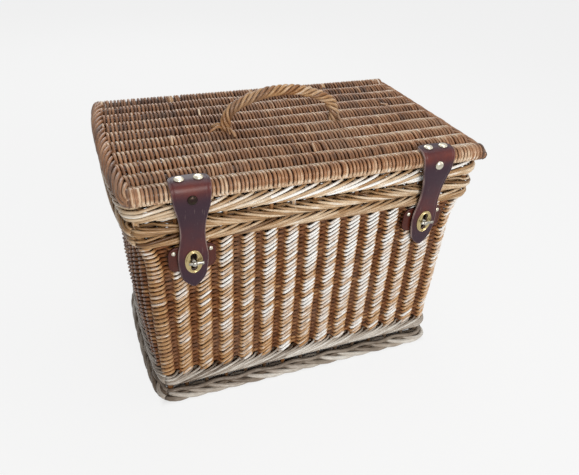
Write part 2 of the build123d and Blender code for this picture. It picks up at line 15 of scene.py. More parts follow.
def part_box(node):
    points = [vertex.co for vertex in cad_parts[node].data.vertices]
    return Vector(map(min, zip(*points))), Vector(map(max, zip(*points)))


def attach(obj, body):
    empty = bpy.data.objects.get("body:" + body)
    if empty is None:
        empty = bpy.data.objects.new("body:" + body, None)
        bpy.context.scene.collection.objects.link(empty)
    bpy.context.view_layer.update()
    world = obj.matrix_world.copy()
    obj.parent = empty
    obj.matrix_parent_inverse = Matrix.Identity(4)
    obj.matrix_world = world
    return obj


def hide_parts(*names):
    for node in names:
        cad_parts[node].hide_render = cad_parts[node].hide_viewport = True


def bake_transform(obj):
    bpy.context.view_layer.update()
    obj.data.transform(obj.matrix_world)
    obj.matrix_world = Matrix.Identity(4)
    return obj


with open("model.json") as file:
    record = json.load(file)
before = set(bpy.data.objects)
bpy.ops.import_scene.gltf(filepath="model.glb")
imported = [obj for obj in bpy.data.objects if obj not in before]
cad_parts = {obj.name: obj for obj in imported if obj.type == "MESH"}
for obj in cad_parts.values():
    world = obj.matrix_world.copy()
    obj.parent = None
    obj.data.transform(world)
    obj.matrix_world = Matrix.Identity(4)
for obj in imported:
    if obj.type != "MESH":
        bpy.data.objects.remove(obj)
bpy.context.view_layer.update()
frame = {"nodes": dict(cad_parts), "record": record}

bl_info = {
    "name": "Willow Hamper",
    "version": (1, 0, 0),
    "blender": (4, 5, 0),
    "location": "3D View > Sidebar > Hamper",
    "description": "Weaves the walls, lid and handle of a willow hamper and fits its straps and locks",
    "category": "Object",
}

MM = 0.001
SEED = 41
SIDES = (("left", -1), ("right", 1))
LOOPS = ("left", "middle", "right")
ALONG_X, ALONG_Y, UPRIGHT = (1.0, 0.0, 0.0), (0.0, 1.0, 0.0), (0.0, 0.0, 1.0)

# Stakes in each wall, in the order in which the weave meets them after each corner post
FRONT_STAKES, SIDE_STAKES, BACK_STAKES = 13, 8, 12
STAKE_COUNT = FRONT_STAKES + 2 * SIDE_STAKES + BACK_STAKES + 4
STEPS_PER_STAKE = 10
STAKE_RADIUS = 3.5
BASE_STICKS, LID_STICKS = 7, 8
WALL_LEAN = tan(radians(2.05))
WALL_MIDDLE = 7.0
CORNER_TURN = 9.0
# How far the ends of the basket, and of the lid, bow out, and the share of it that is left at foot and rim
LEFT_BOW, RIGHT_BOW, FRONT_BOW, LEAST_BOW = 14.0, 8.0, 1.2, 0.55
LID_LEFT_BOW, LID_RIGHT_BOW, LID_RIGHT_REACH = 9.0, 1.5, 6.0
# How far the ends flare out towards the rim, and how far the right end leans out below it
LEFT_FLARE, RIGHT_FLARE, RIGHT_LEAN = 14.0, 18.0, 4.0
# The flare starts this far below the walls' top, and is full after this height
FLARE_START, FLARE_HEIGHT = 34.0, 62.0
# It takes the front and the back along from this share of half their length, fully after this much more
END_START, END_RUN = 0.8, 0.17

# Painted highlight and varnish worn to pale wood on the front strokes, as numbers of stakes from the front
# left post
# and shares; a share below nought is painted shade on the left end
LIT_AND_WORN_STAKES = (0, 2, 4, 6, 9, 14, 17, 23, 30, 36, 37.5, 44, 45)
LIT_AND_WORN_SHARES = (0.5, 0.7, 0.8, 0.92, 1.02, 0.86, 0.55, 0.5, 0.5, 0.3, -0.35, -0.35, 0.5)
# A wall rod's way past two stakes: places from the middle of its stroke in front, in stakes, how far out
# it lies there, and how far it has climbed, in rows
STROKE_PLACE = np.array(
    (-0.6, -0.44, -0.32, -0.26, -0.17, 0, 0.17, 0.24, 0.29, 0.36, 0.5, 0.66, 0.84, 1, 1.2)
)
STROKE_OUT = np.array(
    (-4.2, -3.4, -0.6, 3.6, 4.8, 5.0, 4.8, 3.8, 1.4, -0.6, -1.0, -2.0, -4.2, -4.8, -4.6)
)
STROKE_CLIMB = np.array(
    (-1.5, -1.5, -1.48, -1.34, -1.0, 0, 1.0, 1.28, 1.42, 1.49, 1.5, 1.45, 1.25, 1, 0.7)
)

# The straps: width at the tacks and at the fold, length below it, and the arcs of each edge below it, as
# drops at which they end and three points of half width and drop
STRAP_TOP_WIDTH, STRAP_FOLD_WIDTH, STRAP_LENGTH, LEATHER = 46.0, 40.0, 112.0, 3.0
STRAP_ARCS = (
    (57.0, ((20.0, 0.0), (14.75, 42.0), (16.5, 57.0))),
    (90.0, ((16.5, 57.0), (18.0, 73.0), (16.0, 90.0))),
    (112.0, ((16.0, 90.0), (11.4, 103.0), (0.0, 112.0))),
)
# Half the width and half the height of the slots that go over the turn buttons
SLOT = (3.75, 12.0)


def box_mm(node):
    """Lowest and highest corner of a solid of the frame, in millimetres."""
    low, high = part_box(node)
    return np.array(low) / MM, np.array(high) / MM


joints = frame["record"]["behaviour"]["joints"]
joint_places = {joint["name"]: np.array(joint["pos_m"]) / MM for joint in joints}
joint_axes = {joint["name"]: np.array(joint["axis"], float) for joint in joints}
wall_low, wall_high = box_mm("front_weave")
half_x = box_mm("right_weave")[1][0] - WALL_MIDDLE
half_y = -wall_low[1] - WALL_MIDDLE
lid_low, lid_high = box_mm("lid_weave")
lid_top = lid_high[2]


def linear(code):
    """Linear colour of an sRGB hex value."""
    values = [int(code[i : i + 2], 16) / 255 for i in (0, 2, 4)]
    return tuple(v / 12.92 if v <= 0.04045 else ((v + 0.055) / 1.055) ** 2.4 for v in values)


def length(name, description, millimetres):
    """A length that a user may change."""
    return FloatProperty(
        name=name, description=description, default=millimetres * MM, min=0.0, precision=5, unit="LENGTH"
    )


def colour(name, description, code):
    """A colour that a user may change."""
    return FloatVectorProperty(
        name=name, description=description, default=linear(code), size=3, min=0.0, max=1.0, subtype="COLOR"
    )


class HamperRods(bpy.types.PropertyGroup):
    """Sizes of the willow rods"""

    wall_row_low: length("Lowest row", "Height of one rod's row at the foot of the walls", 3.5)
    wall_row_high: length("Highest row", "Height of one rod's row at the top of the walls", 2.9)
    stake: length("Stake", "Diameter of the upright stakes", 5.6)
    post: length("Corner post", "Diameter of the upright posts in the corners", 8.0)
    wale: length("Wale rod", "Diameter of the rods in the waled bands", 3.6)
    border: length("Border rod", "Diameter of the rods in the rim's border", 4.0)
    foot: length("Foot rod", "Diameter of the rods in the foot's border", 6.8)
    base: length("Base rod", "Diameter of the rods woven across the base", 3.4)
    base_pitch: length("Base spacing", "Spacing of the rods woven across the base", 2.6)
    lid: length("Lid rod", "Diameter of the rods woven across the lid", 3.7)
    lid_pitch: length("Lid spacing", "Spacing of the rods woven across the lid", 2.35)
    plait: length("Plait rod", "Diameter of the rods plaited along the lid's ends", 4.7)
    plait_turn: length("Plait turn", "Length along the lid's ends in which the plait goes once round", 115.0)
    loop: length("Loop rod", "Diameter of the rods in the hinge loops", 3.0)
    rope: length("Handle rod", "Diameter of the rods roped round the handle", 4.3)
    rope_turn: length("Rope turn", "Length along the handle in which its rods go once round", 42.0)


class HamperColours(bpy.types.PropertyGroup):
    """Colours of the willow, leather and brass"""

    wall_dark: colour("Wall dark", "Darkest rods of the walls", "2A160B")
    wall_mid: colour("Wall brown", "Usual brown of the walls", "7E4F2F")
    wall_light: colour("Wall honey", "Lightest rods of the walls", "BE9465")
    rim_dark: colour("Rim dark", "Darkest rods of the rim", "5A3B20")
    rim_mid: colour("Rim straw", "Usual straw brown of the rim", "A37F58")
    rim_light: colour("Rim pale", "Palest rods of the rim", "D5BFA2")
    lid_dark: colour("Lid dark", "Darkest rods of the lid", "4A2E1F")
    lid_mid: colour("Lid brown", "Usual brown of the lid", "9E704E")
    lid_light: colour("Lid tan", "Lightest rods of the lid", "DCC2A4")
    foot_dark: colour("Foot dark", "Darkest rods at the foot", "4C3B2C")
    foot_mid: colour("Foot grey", "Usual grey brown at the foot", "9C9084")
    foot_light: colour("Foot pale", "Palest rods at the foot", "D4CFC7")
    handle_dark: colour("Handle brown", "Darkest rods of the handle", "523A24")
    handle_mid: colour("Handle gold", "Usual golden brown of the handle", "8A5C35")
    handle_light: colour("Handle pale", "Palest rods of the handle", "BD966A")
    # Pale worn wood, which is also the colour of the painted highlights on the willow
    worn: colour("Worn willow", "Pale wood where the varnish has worn off", "EEEDEB")
    weathered: colour("Weathered willow", "Grey of the patches that damp has weathered", "A79B8C")
    # Its bluish cast is partly a painted sheen on the dark burgundy
    strap: colour("Strap leather", "Dark burgundy of the straps", "2E1825")
    strap_worn: colour("Worn leather", "Reddish leather where the straps bend", "742E16")
    strap_edge: colour("Leather edge", "Scuffed edges of the straps", "8E7A74")
    tab: colour("Tab leather", "Red brown of the keeper tabs", "3E170F")
    tack: colour("Tack brass", "Pale brass of the tacks", "DAD3C0")
    brass: colour("Lock brass", "Clean brass of the locks", "8E866F")
    button: colour("Turn button", "Worn nickel of the turn buttons", "B4B1A8")
    tarnish: colour("Tarnish", "Dark film on old brass", "3A3328")
    floor: colour("Floor", "Pale floor", "F0F0EF")


def rod_sizes():
    """The rods' sizes as set in the scene."""
    return bpy.context.scene.hamper_rods


def colours():
    """The colours as set in the scene."""
    return bpy.context.scene.hamper_colours


def paint(name):
    """One of the colours as set in the scene, with full cover."""
    return (*getattr(colours(), name), 1.0)


def fill(node, inputs):
    """Fills a shader node's inputs with values or with other nodes' outputs."""
    for key, value in inputs.items():
        if isinstance(value, bpy.types.NodeSocket):
            node.id_data.links.new(value, node.inputs[key])
        else:
            node.inputs[key].default_value = value


def add_node(tree, kind, inputs=None, **settings):
    """Adds a shader node, sets it up and fills its inputs."""
    new = tree.nodes.new("ShaderNode" + kind)
    for key, value in settings.items():
        setattr(new, key, value)
    fill(new, inputs or {})
    return new


def new_material(name):
    """An empty material and its tree and main shader."""
    material = bpy.data.materials.new(name)
    material.use_nodes = True
    tree = material.node_tree
    return material, tree, tree.nodes["Principled BSDF"]


def peeled_willow(name, part, gloss, greying, varnish):
    """Willow rods, peeled and varnished: streaked lengthways, each rod its own brown, a painted highlight on
    its curve.
    """
    material, tree, shader = new_material(name)
    # The grain runs along each rod: streaks 26 mm long and 0.8 mm wide, blotches 11 mm long and 3 mm wide
    streak_size = (1 / 26, 1 / 0.8, 1 / 0.8)
    blotch_size = (1 / 11, 1 / 3, 1 / 3)
    tone = add_node(tree, "Attribute", attribute_name="rod_tone").outputs["Fac"]
    grain = add_node(tree, "Attribute", attribute_name="rod_grain").outputs["Vector"]
    place = add_node(tree, "VectorMath", {0: grain, 1: streak_size}, operation="MULTIPLY").outputs[0]
    streak = add_node(tree, "TexNoise", {"Vector": place, "Scale": 1.0, "Detail": 3.0}).outputs["Fac"]
    place = add_node(tree, "VectorMath", {0: grain, 1: blotch_size}, operation="MULTIPLY").outputs[0]
    blotch = add_node(tree, "TexNoise", {"Vector": place, "Scale": 1.0, "Detail": 2.0}).outputs["Fac"]
    brown = add_node(tree, "Math", {0: streak, 1: 0.5, 2: tone}, operation="MULTIPLY_ADD").outputs[0]
    brown = add_node(tree, "Math", {0: blotch, 1: 0.5, 2: brown}, operation="MULTIPLY_ADD").outputs[0]
    brown = add_node(tree, "Math", {0: brown, 1: 0.5}, operation="SUBTRACT").outputs[0]
    ramp = add_node(tree, "ValToRGB", {"Fac": brown})
    # The palest stop, pale worn wood, is also the colour of the painted highlights
    shades = ((0.12, f"{part}_dark"), (0.48, f"{part}_mid"), (0.76, f"{part}_light"), (1.0, "worn"))
    stops = ramp.color_ramp.elements
    while len(stops) < len(shades):
        stops.new(0.5)
    for stop, (at, shade) in zip(stops, shades):
        stop.position = at
        stop.color = paint(shade)
    # Grey weathering in patches about 60 mm across
    place = add_node(tree, "TexCoord").outputs["Object"]
    patch = add_node(tree, "TexNoise", {"Vector": place, "Scale": 1 / (60 * MM), "Detail": 2.0})
    limits = {"From Min": 0.42, "From Max": 0.72, "To Min": 0.0, "To Max": greying}
    grey = add_node(tree, "MapRange", {"Value": patch.outputs["Fac"], **limits})
    layers = {0: grey.outputs[0], 6: ramp.outputs["Color"], 7: paint("weathered")}
    aged = add_node(tree, "Mix", layers, data_type="RGBA")
    rough = add_node(tree, "MapRange", {"Value": blotch, "To Min": gloss - 0.08, "To Max": gloss + 0.14})
    bump = add_node(tree, "Bump", {"Height": streak, "Strength": 0.35, "Distance": 0.4 * MM})
    fill(shader, {"Base Color": aged.outputs[2], "Roughness": rough.outputs[0], "Normal": bump.outputs[0]})
    fill(shader, {"Coat Weight": varnish, "Coat Roughness": 0.22, "Specular IOR Level": 0.14})
    return material


def bridle_leather(name, hide, bends, edges):
    """Waxed bridle leather: dark and close-grained with a soft sheen, redder at bends, scuffed at edges."""
    material, tree, shader = new_material(name)
    place = add_node(tree, "TexCoord").outputs["Object"]
    # Pores 0.4 mm across are drawn at 1.1 mm, so that they show
    pores = add_node(tree, "TexVoronoi", {"Vector": place, "Scale": 1 / (1.1 * MM)})
    # Clouds 18 mm across, and scratches 1.6 mm apart and 12 mm long
    cloud = add_node(tree, "TexNoise", {"Vector": place, "Scale": 1 / (18 * MM), "Detail": 4.0})
    scratch_size = (1 / (1.6 * MM), 1 / (12 * MM), 1 / (12 * MM))
    drawn = add_node(tree, "VectorMath", {0: place, 1: scratch_size}, operation="MULTIPLY")
    scratch = add_node(tree, "TexNoise", {"Vector": drawn.outputs[0], "Scale": 1.0, "Detail": 2.0})
    bend = add_node(tree, "Attribute", attribute_name="bend_wear").outputs["Fac"]
    bend = add_node(tree, "Math", {0: bend, 1: cloud.outputs["Fac"]}, operation="MULTIPLY").outputs[0]
    red = add_node(tree, "Mix", {0: bend, 6: paint(hide), 7: paint(bends)}, data_type="RGBA").outputs[2]
    # Edges are rubbed over about 2 mm, in broken stretches
    gap = add_node(tree, "Attribute", attribute_name="edge_gap").outputs["Fac"]
    limits = {"From Min": 0.3, "From Max": 1.8, "To Min": 1.0, "To Max": 0.0}
    pale_edge = add_node(tree, "MapRange", {"Value": gap, **limits}).outputs[0]
    limits = {"From Min": 0.3, "From Max": 0.58}
    broken = add_node(tree, "MapRange", {"Value": cloud.outputs["Fac"], **limits}).outputs[0]
    pale_edge = add_node(tree, "Math", {0: pale_edge, 1: broken}, operation="MULTIPLY").outputs[0]
    scuffed = add_node(tree, "Mix", {0: pale_edge, 6: red, 7: paint(edges)}, data_type="RGBA").outputs[2]
    limits = {"From Min": 0.66, "From Max": 0.8, "To Min": 0.0, "To Max": 0.35}
    marks = add_node(tree, "MapRange", {"Value": scratch.outputs["Fac"], **limits}).outputs[0]
    marked = add_node(tree, "Mix", {0: marks, 6: scuffed, 7: paint(edges)}, data_type="RGBA").outputs[2]
    rough = add_node(tree, "MapRange", {"Value": cloud.outputs["Fac"], "To Min": 0.3, "To Max": 0.56})
    grain = {"Height": pores.outputs["Distance"], "Strength": 0.25, "Distance": 0.3 * MM}
    bump = add_node(tree, "Bump", grain)
    fill(shader, {"Base Color": marked, "Roughness": rough.outputs[0], "Normal": bump.outputs[0]})
    fill(shader, {"Coat Weight": 0.12, "Coat Roughness": 0.3, "Specular IOR Level": 0.25})
    return material


def stamped_metal(name, bright, film, cover, gloss):
    """Stamped metal, once polished: bright and warm, with a dull film in patches and fine scratches."""
    material, tree, shader = new_material(name)
    place = add_node(tree, "TexCoord").outputs["Object"]
    # The film lies in spots about 4 mm across, and the scratches are 0.5 mm apart
    spots = add_node(tree, "TexNoise", {"Vector": place, "Scale": 1 / (4 * MM), "Detail": 3.0}).outputs["Fac"]
    fine = add_node(tree, "TexNoise", {"Vector": place, "Scale": 1 / (0.5 * MM), "Detail": 1.0})
    limits = {"From Min": 0.35, "From Max": 0.7, "To Min": 0.0, "To Max": cover}
    spread = add_node(tree, "MapRange", {"Value": spots, **limits}).outputs[0]
    aged = add_node(tree, "Mix", {0: spread, 6: paint(bright), 7: paint(film)}, data_type="RGBA")
    rough = add_node(tree, "MapRange", {"Value": spots, "To Min": gloss - 0.08, "To Max": gloss + 0.16})
    bump = add_node(tree, "Bump", {"Height": fine.outputs["Fac"], "Strength": 0.12, "Distance": 0.1 * MM})
    fill(shader, {"Base Color": aged.outputs[2], "Roughness": rough.outputs[0], "Normal": bump.outputs[0]})
    fill(shader, {"Metallic": 1.0})
    return material


# How each finish is made, and what it gives the eye. Willow: its part, roughness, weathering and varnish.
# Leather: its colour and those of its bends and edges. Metal: its colour, its film's, cover and roughness.
FINISHES = {
    # Warm brown with a thin, worn varnish
    "wall_varnished_willow": (peeled_willow, "wall", 0.4, 0.12, 0.15),
    # Straw brown, a little shinier
    "rim_varnished_willow": (peeled_willow, "rim", 0.4, 0.15, 0.25),
    # Reddish brown under a thicker varnish
    "lid_varnished_willow": (peeled_willow, "lid", 0.42, 0.15, 0.3),
    # Dull grey brown, weathered by damp
    "foot_weathered_willow": (peeled_willow, "foot", 0.46, 0.5, 0.25),
    # Golden, rubbed smooth by hands
    "handle_varnished_willow": (peeled_willow, "handle", 0.38, 0.4, 0.3),
    # Nearly black burgundy with pale scuffs
    "strap_bridle_leather": (bridle_leather, "strap", "strap_worn", "strap_edge"),
    # Red brown, without scuffs
    "tab_bridle_leather": (bridle_leather, "tab", "strap_worn", "tab"),
    # Pale and bright
    "tack_brass": (stamped_metal, "tack", "tarnish", 0.35, 0.24),
    # Nearly black, with a dull shine
    "stud_browned_brass": (stamped_metal, "tarnish", "strap", 0.6, 0.3),
    # Pale grey, dull in the hollows
    "button_worn_nickel": (stamped_metal, "button", "tarnish", 0.5, 0.26),
    # Olive gold under a heavy film
    "lock_brass": (stamped_metal, "brass", "tarnish", 0.85, 0.34),
}


def finish(kind):
    """The material of one finish of the hamper, made when first asked for."""
    if kind not in bpy.data.materials:
        make, *values = FINISHES[kind]
        make(kind, *values)
    return bpy.data.materials[kind]


def use_finish(node, kind):
    """Gives a solid of the frame one of the hamper's finishes."""
    solid = frame["nodes"][node]
    solid.data.materials.clear()
    solid.data.materials.append(finish(kind))


def new_object(name, data):
    """A new object in the scene."""
    thing = bpy.data.objects.new(name, data)
    bpy.context.scene.collection.objects.link(thing)
    return thing


def new_mesh(name, points, faces):
    """A mesh of points in millimetres."""
    mesh = bpy.data.meshes.new(name)
    mesh.from_pydata((np.asarray(points, float) * MM).tolist(), [], faces)
    return mesh


def mesh_piece(name, points, faces, material, body, slot, nodes=(), attributes=None):
    """A smooth mesh of points in millimetres that rides on a body and stands for solids of the frame."""
    mesh = new_mesh(name, points, faces)
    mesh.polygons.foreach_set("use_smooth", np.ones(len(mesh.polygons), bool))
    for key, values in (attributes or {}).items():
        values = np.asarray(values, np.float32)
        if values.ndim == 2:
            mesh.attributes.new(key, "FLOAT_VECTOR", "POINT").data.foreach_set("vector", values.ravel())
        else:
            mesh.attributes.new(key, "FLOAT", "POINT").data.foreach_set("value", values)
    mesh.update()
    mesh.materials.append(finish(material))
    piece = new_object(name, mesh)
    if body:
        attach(piece, body)
    if nodes:
        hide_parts(*nodes)
    return piece


def walked(line):
    """Distance walked along a line to each of its points."""
    return np.concatenate(([0], np.cumsum(np.linalg.norm(np.diff(line, axis=0), axis=1))))


def at_distances(line, distances):
    """Points of a line at given distances along it."""
    return np.column_stack([np.interp(distances, walked(line), part) for part in line.T])


def heading(line):
    """Direction of a line at each of its points."""
    along = np.gradient(line, axis=0)
    return along / np.linalg.norm(along, axis=1)[:, None]


def square_to(line, across):
    """Two directions square to a line at each of its points, the first of them also square to across."""
    along = heading(line)
    normal = np.cross(along, across)
    normal /= np.linalg.norm(normal, axis=1)[:, None]
    return normal, np.cross(normal, along)


def ease(share):
    """A share from nought to one that starts and ends gently."""
    return share**2 * (3 - 2 * share)


def skin(rows, ring, closed=True, first=0):
    """Faces over rows of closed rings, with a face on each end where it is closed."""
    index = first + np.arange(rows * ring).reshape(rows, ring)
    turned = np.roll(index, -1, axis=1)
    faces = np.stack((index[:-1], turned[:-1], turned[1:], index[1:]), axis=-1).reshape(-1, 4).tolist()
    if closed:
        faces += [index[0][::-1].tolist(), index[-1].tolist()]
    return faces


class Rods:
    """Collects bent rods and lays a round tube along each of them in one mesh."""

    def __init__(self, seed, sides=7):
        self.random = np.random.default_rng(SEED + seed)
        self.turn = np.arange(sides) * 2 * pi / sides
        self.points, self.faces, self.tones, self.grains = [], [], [], []
        self.count = 0

    def waver(self, places, marks, spread):
        """Random values at some marks, and between them at given places."""
        return np.interp(places, marks, self.random.normal(0, spread, len(marks)))

    def add(self, path, radius, tone=0.0, across=UPRIGHT, spread=0.17):
        """Adds a rod along a path; its tone is a shift from its own random brown."""
        path = np.asarray(path, float)
        steps, sides = len(path), len(self.turn)
        radius = np.broadcast_to(np.asarray(radius, float), (steps,))
        normal, other = square_to(path, across)
        ring = radius[:, None] * np.cos(self.turn), radius[:, None] * np.sin(self.turn)
        tube = path[:, None] + ring[0][..., None] * normal[:, None] + ring[1][..., None] * other[:, None]
        self.points.append(tube.reshape(-1, 3))
        self.faces += skin(steps, sides, first=self.count)
        # Each rod starts at a place of its own in four metres of the grain's pattern
        start = self.random.uniform(0, 4000)
        grain = np.stack((np.broadcast_to((walked(path) + start)[:, None], ring[0].shape), *ring), axis=-1)
        self.grains.append(grain.reshape(-1, 3))
        own = 0.5 + self.random.normal(0, spread)
        self.tones.append(np.repeat(np.broadcast_to(own + tone, (steps,)), sides))
        self.count += steps * sides

    def piece(self, name, material, body, slot, *nodes):
        """The finished mesh of all the rods."""
        attributes = {"rod_tone": np.concatenate(self.tones), "rod_grain": np.concatenate(self.grains)}
        points = np.concatenate(self.points)
        return mesh_piece(name, points, self.faces, material, body, slot, nodes, attributes)


class WallPlan:
    """Middle line of the walls in plan, walked from the front left post round to it, and its stakes."""

    def __init__(self):
        straight_x, straight_y = half_x - CORNER_TURN, half_y - CORNER_TURN
        corners = (
            (-straight_x, -straight_y, 225, 270),
            (straight_x, -straight_y, 270, 360),
            (straight_x, straight_y, 0, 90),
            (-straight_x, straight_y, 90, 180),
            (-straight_x, -straight_y, 180, 225),
        )
        corner_points = 13
        columns, ends = [], []
        for x, y, first, last in corners:
            angles = np.radians(np.linspace(first, last, corner_points))
            out = np.column_stack((np.cos(angles), np.sin(angles)))
            columns.append(np.column_stack((np.array((x, y)) + CORNER_TURN * out, out)))
            ends.append(corner_points * len(columns) - 1)
        table = np.concatenate(columns)
        self.columns = table.T
        self.distance = walked(table[:, :2])
        self.last_x = box_mm("front_stakes")[1][0] - STAKE_RADIUS
        self.last_y = box_mm("right_stakes")[1][1] - STAKE_RADIUS
        last_back = box_mm("back_stakes")[1][0] - STAKE_RADIUS
        runs = (
            (FRONT_STAKES, self.last_x, straight_x),
            (SIDE_STAKES, self.last_y, straight_y),
            (BACK_STAKES, last_back, straight_x),
            (SIDE_STAKES, self.last_y, straight_y),
        )
        places = [0.0]
        for start, (count, last, straight) in zip(self.distance[ends], runs):
            places += list(start + straight + np.linspace(-last, last, count))
            places.append(start + 2 * straight + CORNER_TURN * pi / 4)
        self.stakes = np.array(places)

    def place(self, stake, z, out):
        """Points at given numbers of stakes, heights and distances out from the walls' middle."""
        distance = np.interp(np.asarray(stake) % STAKE_COUNT, np.arange(STAKE_COUNT + 1), self.stakes)
        x, y, out_x, out_y = (np.interp(distance, self.distance, column) for column in self.columns)
        side_x, side_y = np.sign(x), np.sign(y)
        inward = (wall_high[2] - z) * WALL_LEAN
        lean_x = inward * np.clip((np.abs(x) - self.last_x) / (half_x - self.last_x), 0, 1)
        lean_y = inward * np.clip((np.abs(y) - self.last_y) / (half_y - self.last_y), 0, 1)
        rise = np.sin(pi * np.clip((z - wall_low[2]) / (wall_high[2] - wall_low[2]), 0, 1))
        end_bow = np.where(x < 0, LEFT_BOW, RIGHT_BOW) * (1 - (np.abs(y) / half_y) ** 3)
        end_bow = end_bow * (LEAST_BOW + (1 - LEAST_BOW) * rise) * out_x * np.abs(out_x)
        front_bow = FRONT_BOW * np.cos(pi * x / (2 * half_x)) * rise * out_y * np.abs(out_y)
        high = ease(np.clip((z - wall_high[2] + FLARE_START) / FLARE_HEIGHT, 0, 1))
        flare = np.where(x < 0, LEFT_FLARE * high, (RIGHT_FLARE - RIGHT_LEAN) * high + RIGHT_LEAN)
        flare = flare * ease(np.clip((np.abs(x) / half_x - END_START) / END_RUN, 0, 1))
        x = x - side_x * lean_x + out_x * out + end_bow + side_x * flare
        y = y - side_y * lean_y + out_y * out + front_bow
        return np.column_stack((x, y, np.broadcast_to(z, x.shape)))


def worn(stake):
    """Painted highlight with worn varnish at a number of stakes from the front left post; below nought,
    painted shade.
    """
    return np.interp(np.asarray(stake) % STAKE_COUNT, LIT_AND_WORN_STAKES, LIT_AND_WORN_SHARES)


def wind_band(
    rods, plan, low, high, proud, strands, diameter, way, ends=(0.0, STAKE_COUNT), highlight_and_wear=0.26, lie=1.0
):
    """Rods wound round the stakes in a band.

    Each shows outside along two and a half stakes, rising or falling as it goes, and turns back behind the
    rest of four. With lie above one it is level for the last of each stroke.
    """
    radius = diameter / 2
    span, shown = 4.0, 0.62
    first, last = ends
    reach_out = WALL_MIDDLE + proud / 2 - radius
    stake = np.arange(first, last + 0.5 / STEPS_PER_STAKE, 1 / STEPS_PER_STAKE)
    marks = np.arange(first, last + 2)
    lit_and_worn_share = worn(stake)
    for strand in range(strands):
        turn = (stake / span + strand / strands) % 1
        climb = np.where(turn < shown, turn / shown, (1 - turn) / (1 - shown))
        climb = np.minimum(climb * lie, 1)
        half_turn = np.where(turn < shown, turn / shown, 1 + (turn - shown) / (1 - shown))
        swing = np.sin(pi * half_turn)
        z = low + radius + (high - low - diameter) * (climb if way > 0 else 1 - climb)
        z = np.clip(z + rods.waver(stake, marks, 0.3), low + radius, high - radius)
        out = proud / 2 + reach_out * np.sign(swing) * np.abs(swing) ** 0.5
        # Each rod runs out after six to ten stakes, and the next one has a brown of its own
        change = np.cumsum(rods.random.integers(6, 11, 12))
        shade = rods.random.normal(0, 0.13, 13)[np.searchsorted(change, stake - first)]
        # Painted highlight where it stands out, palest where painted highlight and worn varnish are strongest
        highlight_and_wear_mask = 1.5 * np.clip(lit_and_worn_share - 0.65, 0, 1) * np.clip(2 * swing - 0.4, 0, 1)
        tone = shade - 0.14 + 0.1 * np.clip(lit_and_worn_share, 0, 1) + 0.12 * swing + highlight_and_wear * highlight_and_wear_mask
        thick = radius * (0.86 + 0.14 * np.clip(swing, 0, 1))
        rods.add(plan.place(stake, z, out), thick, tone, spread=0.08)


class HAMPER_OT_weave_walls(bpy.types.Operator):
    """Weave the four walls, one long rod started at each stake and rising round the basket"""

    bl_idname = "hamper.weave_walls"
    bl_label = "Weave Walls"

    def execute(self, context):
        sizes, plan, rods = rod_sizes(), WallPlan(), Rods(1, sides=6)
        thick, thin = sizes.wall_row_low / MM, sizes.wall_row_high / MM
        low, high = wall_low[2], wall_high[2]
        rows = (high - low) / ((thick + thin) / 2)
        pairs = 2 * np.arange(int(rows / 2) + 2)[:, None]
        step, climb = (pairs + STROKE_PLACE).ravel(), (pairs + STROKE_CLIMB).ravel()
        out = np.tile(STROKE_OUT, len(pairs))
        past = 0.6
        inside = (step > -past) & (step < rows + past)
        step, climb, out = step[inside], climb[inside], out[inside]
        row = thick + (thin - thick) * np.clip(climb / rows, 0, 1)
        level = low + thick * climb + (thin - thick) * climb**2 / (2 * rows)
        front = np.clip((out - 3.0) / 1.2, 0, 1)
        # Flattened a little where a rod is pulled over a stake
        radius = (0.7 - 0.12 * front) * row
        marks = np.arange(-1, int(rows) + 3)
        for start in range(STAKE_COUNT):
            # Before even stakes, behind odd ones; each stroke in front climbs by three rows
            z = level + rods.waver(step, marks, 0.28)
            lie = out + rods.waver(step, marks, 0.22)
            # Painted shade in the depth of the weave; painted highlight and worn varnish on a stroke in front
            tone = np.interp(out, (-4.5, -1.5, 4.5), (-0.42, -0.12, 0.04))
            tone += rods.waver(step, marks[::5], 0.045)
            tone += 0.46 * front * worn(start + step) * (0.7 + 0.3 * climb / rows)
            rods.add(plan.place(start + step, z, lie), radius, tone, spread=0.055)
        nodes = ("front_weave", "back_weave", "left_weave", "right_weave")
        rods.piece("wall_weave", "wall_varnished_willow", "basket", "wall_willow", *nodes)
        return {"FINISHED"}


class HAMPER_OT_set_uprights(bpy.types.Operator):
    """Set the stakes and the corner posts that the walls are woven on"""

    bl_idname = "hamper.set_uprights"
    bl_label = "Set Uprights"

    def execute(self, context):
        sizes, plan, rods = rod_sizes(), WallPlan(), Rods(2, sides=10)
        posts = (0, FRONT_STAKES + 1, FRONT_STAKES + SIDE_STAKES + 2, STAKE_COUNT - SIDE_STAKES - 1)
        bottom, front_top = (corner[2] for corner in box_mm("front_stakes"))
        back_top = box_mm("hinge_rail")[0][2] + 3
        for stake in range(STAKE_COUNT):
            top = back_top if posts[2] <= stake <= posts[3] else front_top
            z = np.linspace(bottom, top, 24)
            radius = (sizes.post if stake in posts else sizes.stake) / MM / 2
            wander = rods.waver(z, np.linspace(bottom, top, 8), 0.35)
            path = plan.place(np.full(len(z), float(stake)), z, wander)
            # Dark where the walls' rods keep the light off, paler where the rim leaves it bare
            tone = np.interp(z, (wall_high[2] - 8, wall_high[2] + 16), (-0.4, 0.0))
            rods.add(path, radius * np.linspace(1.06, 0.94, len(z)), tone, ALONG_X)
        nodes = ("front_stakes", "back_stakes", "left_stakes", "right_stakes", "corner_posts")
        rods.piece("stakes", "handle_varnished_willow", "basket", "stake_willow", *nodes)
        return {"FINISHED"}


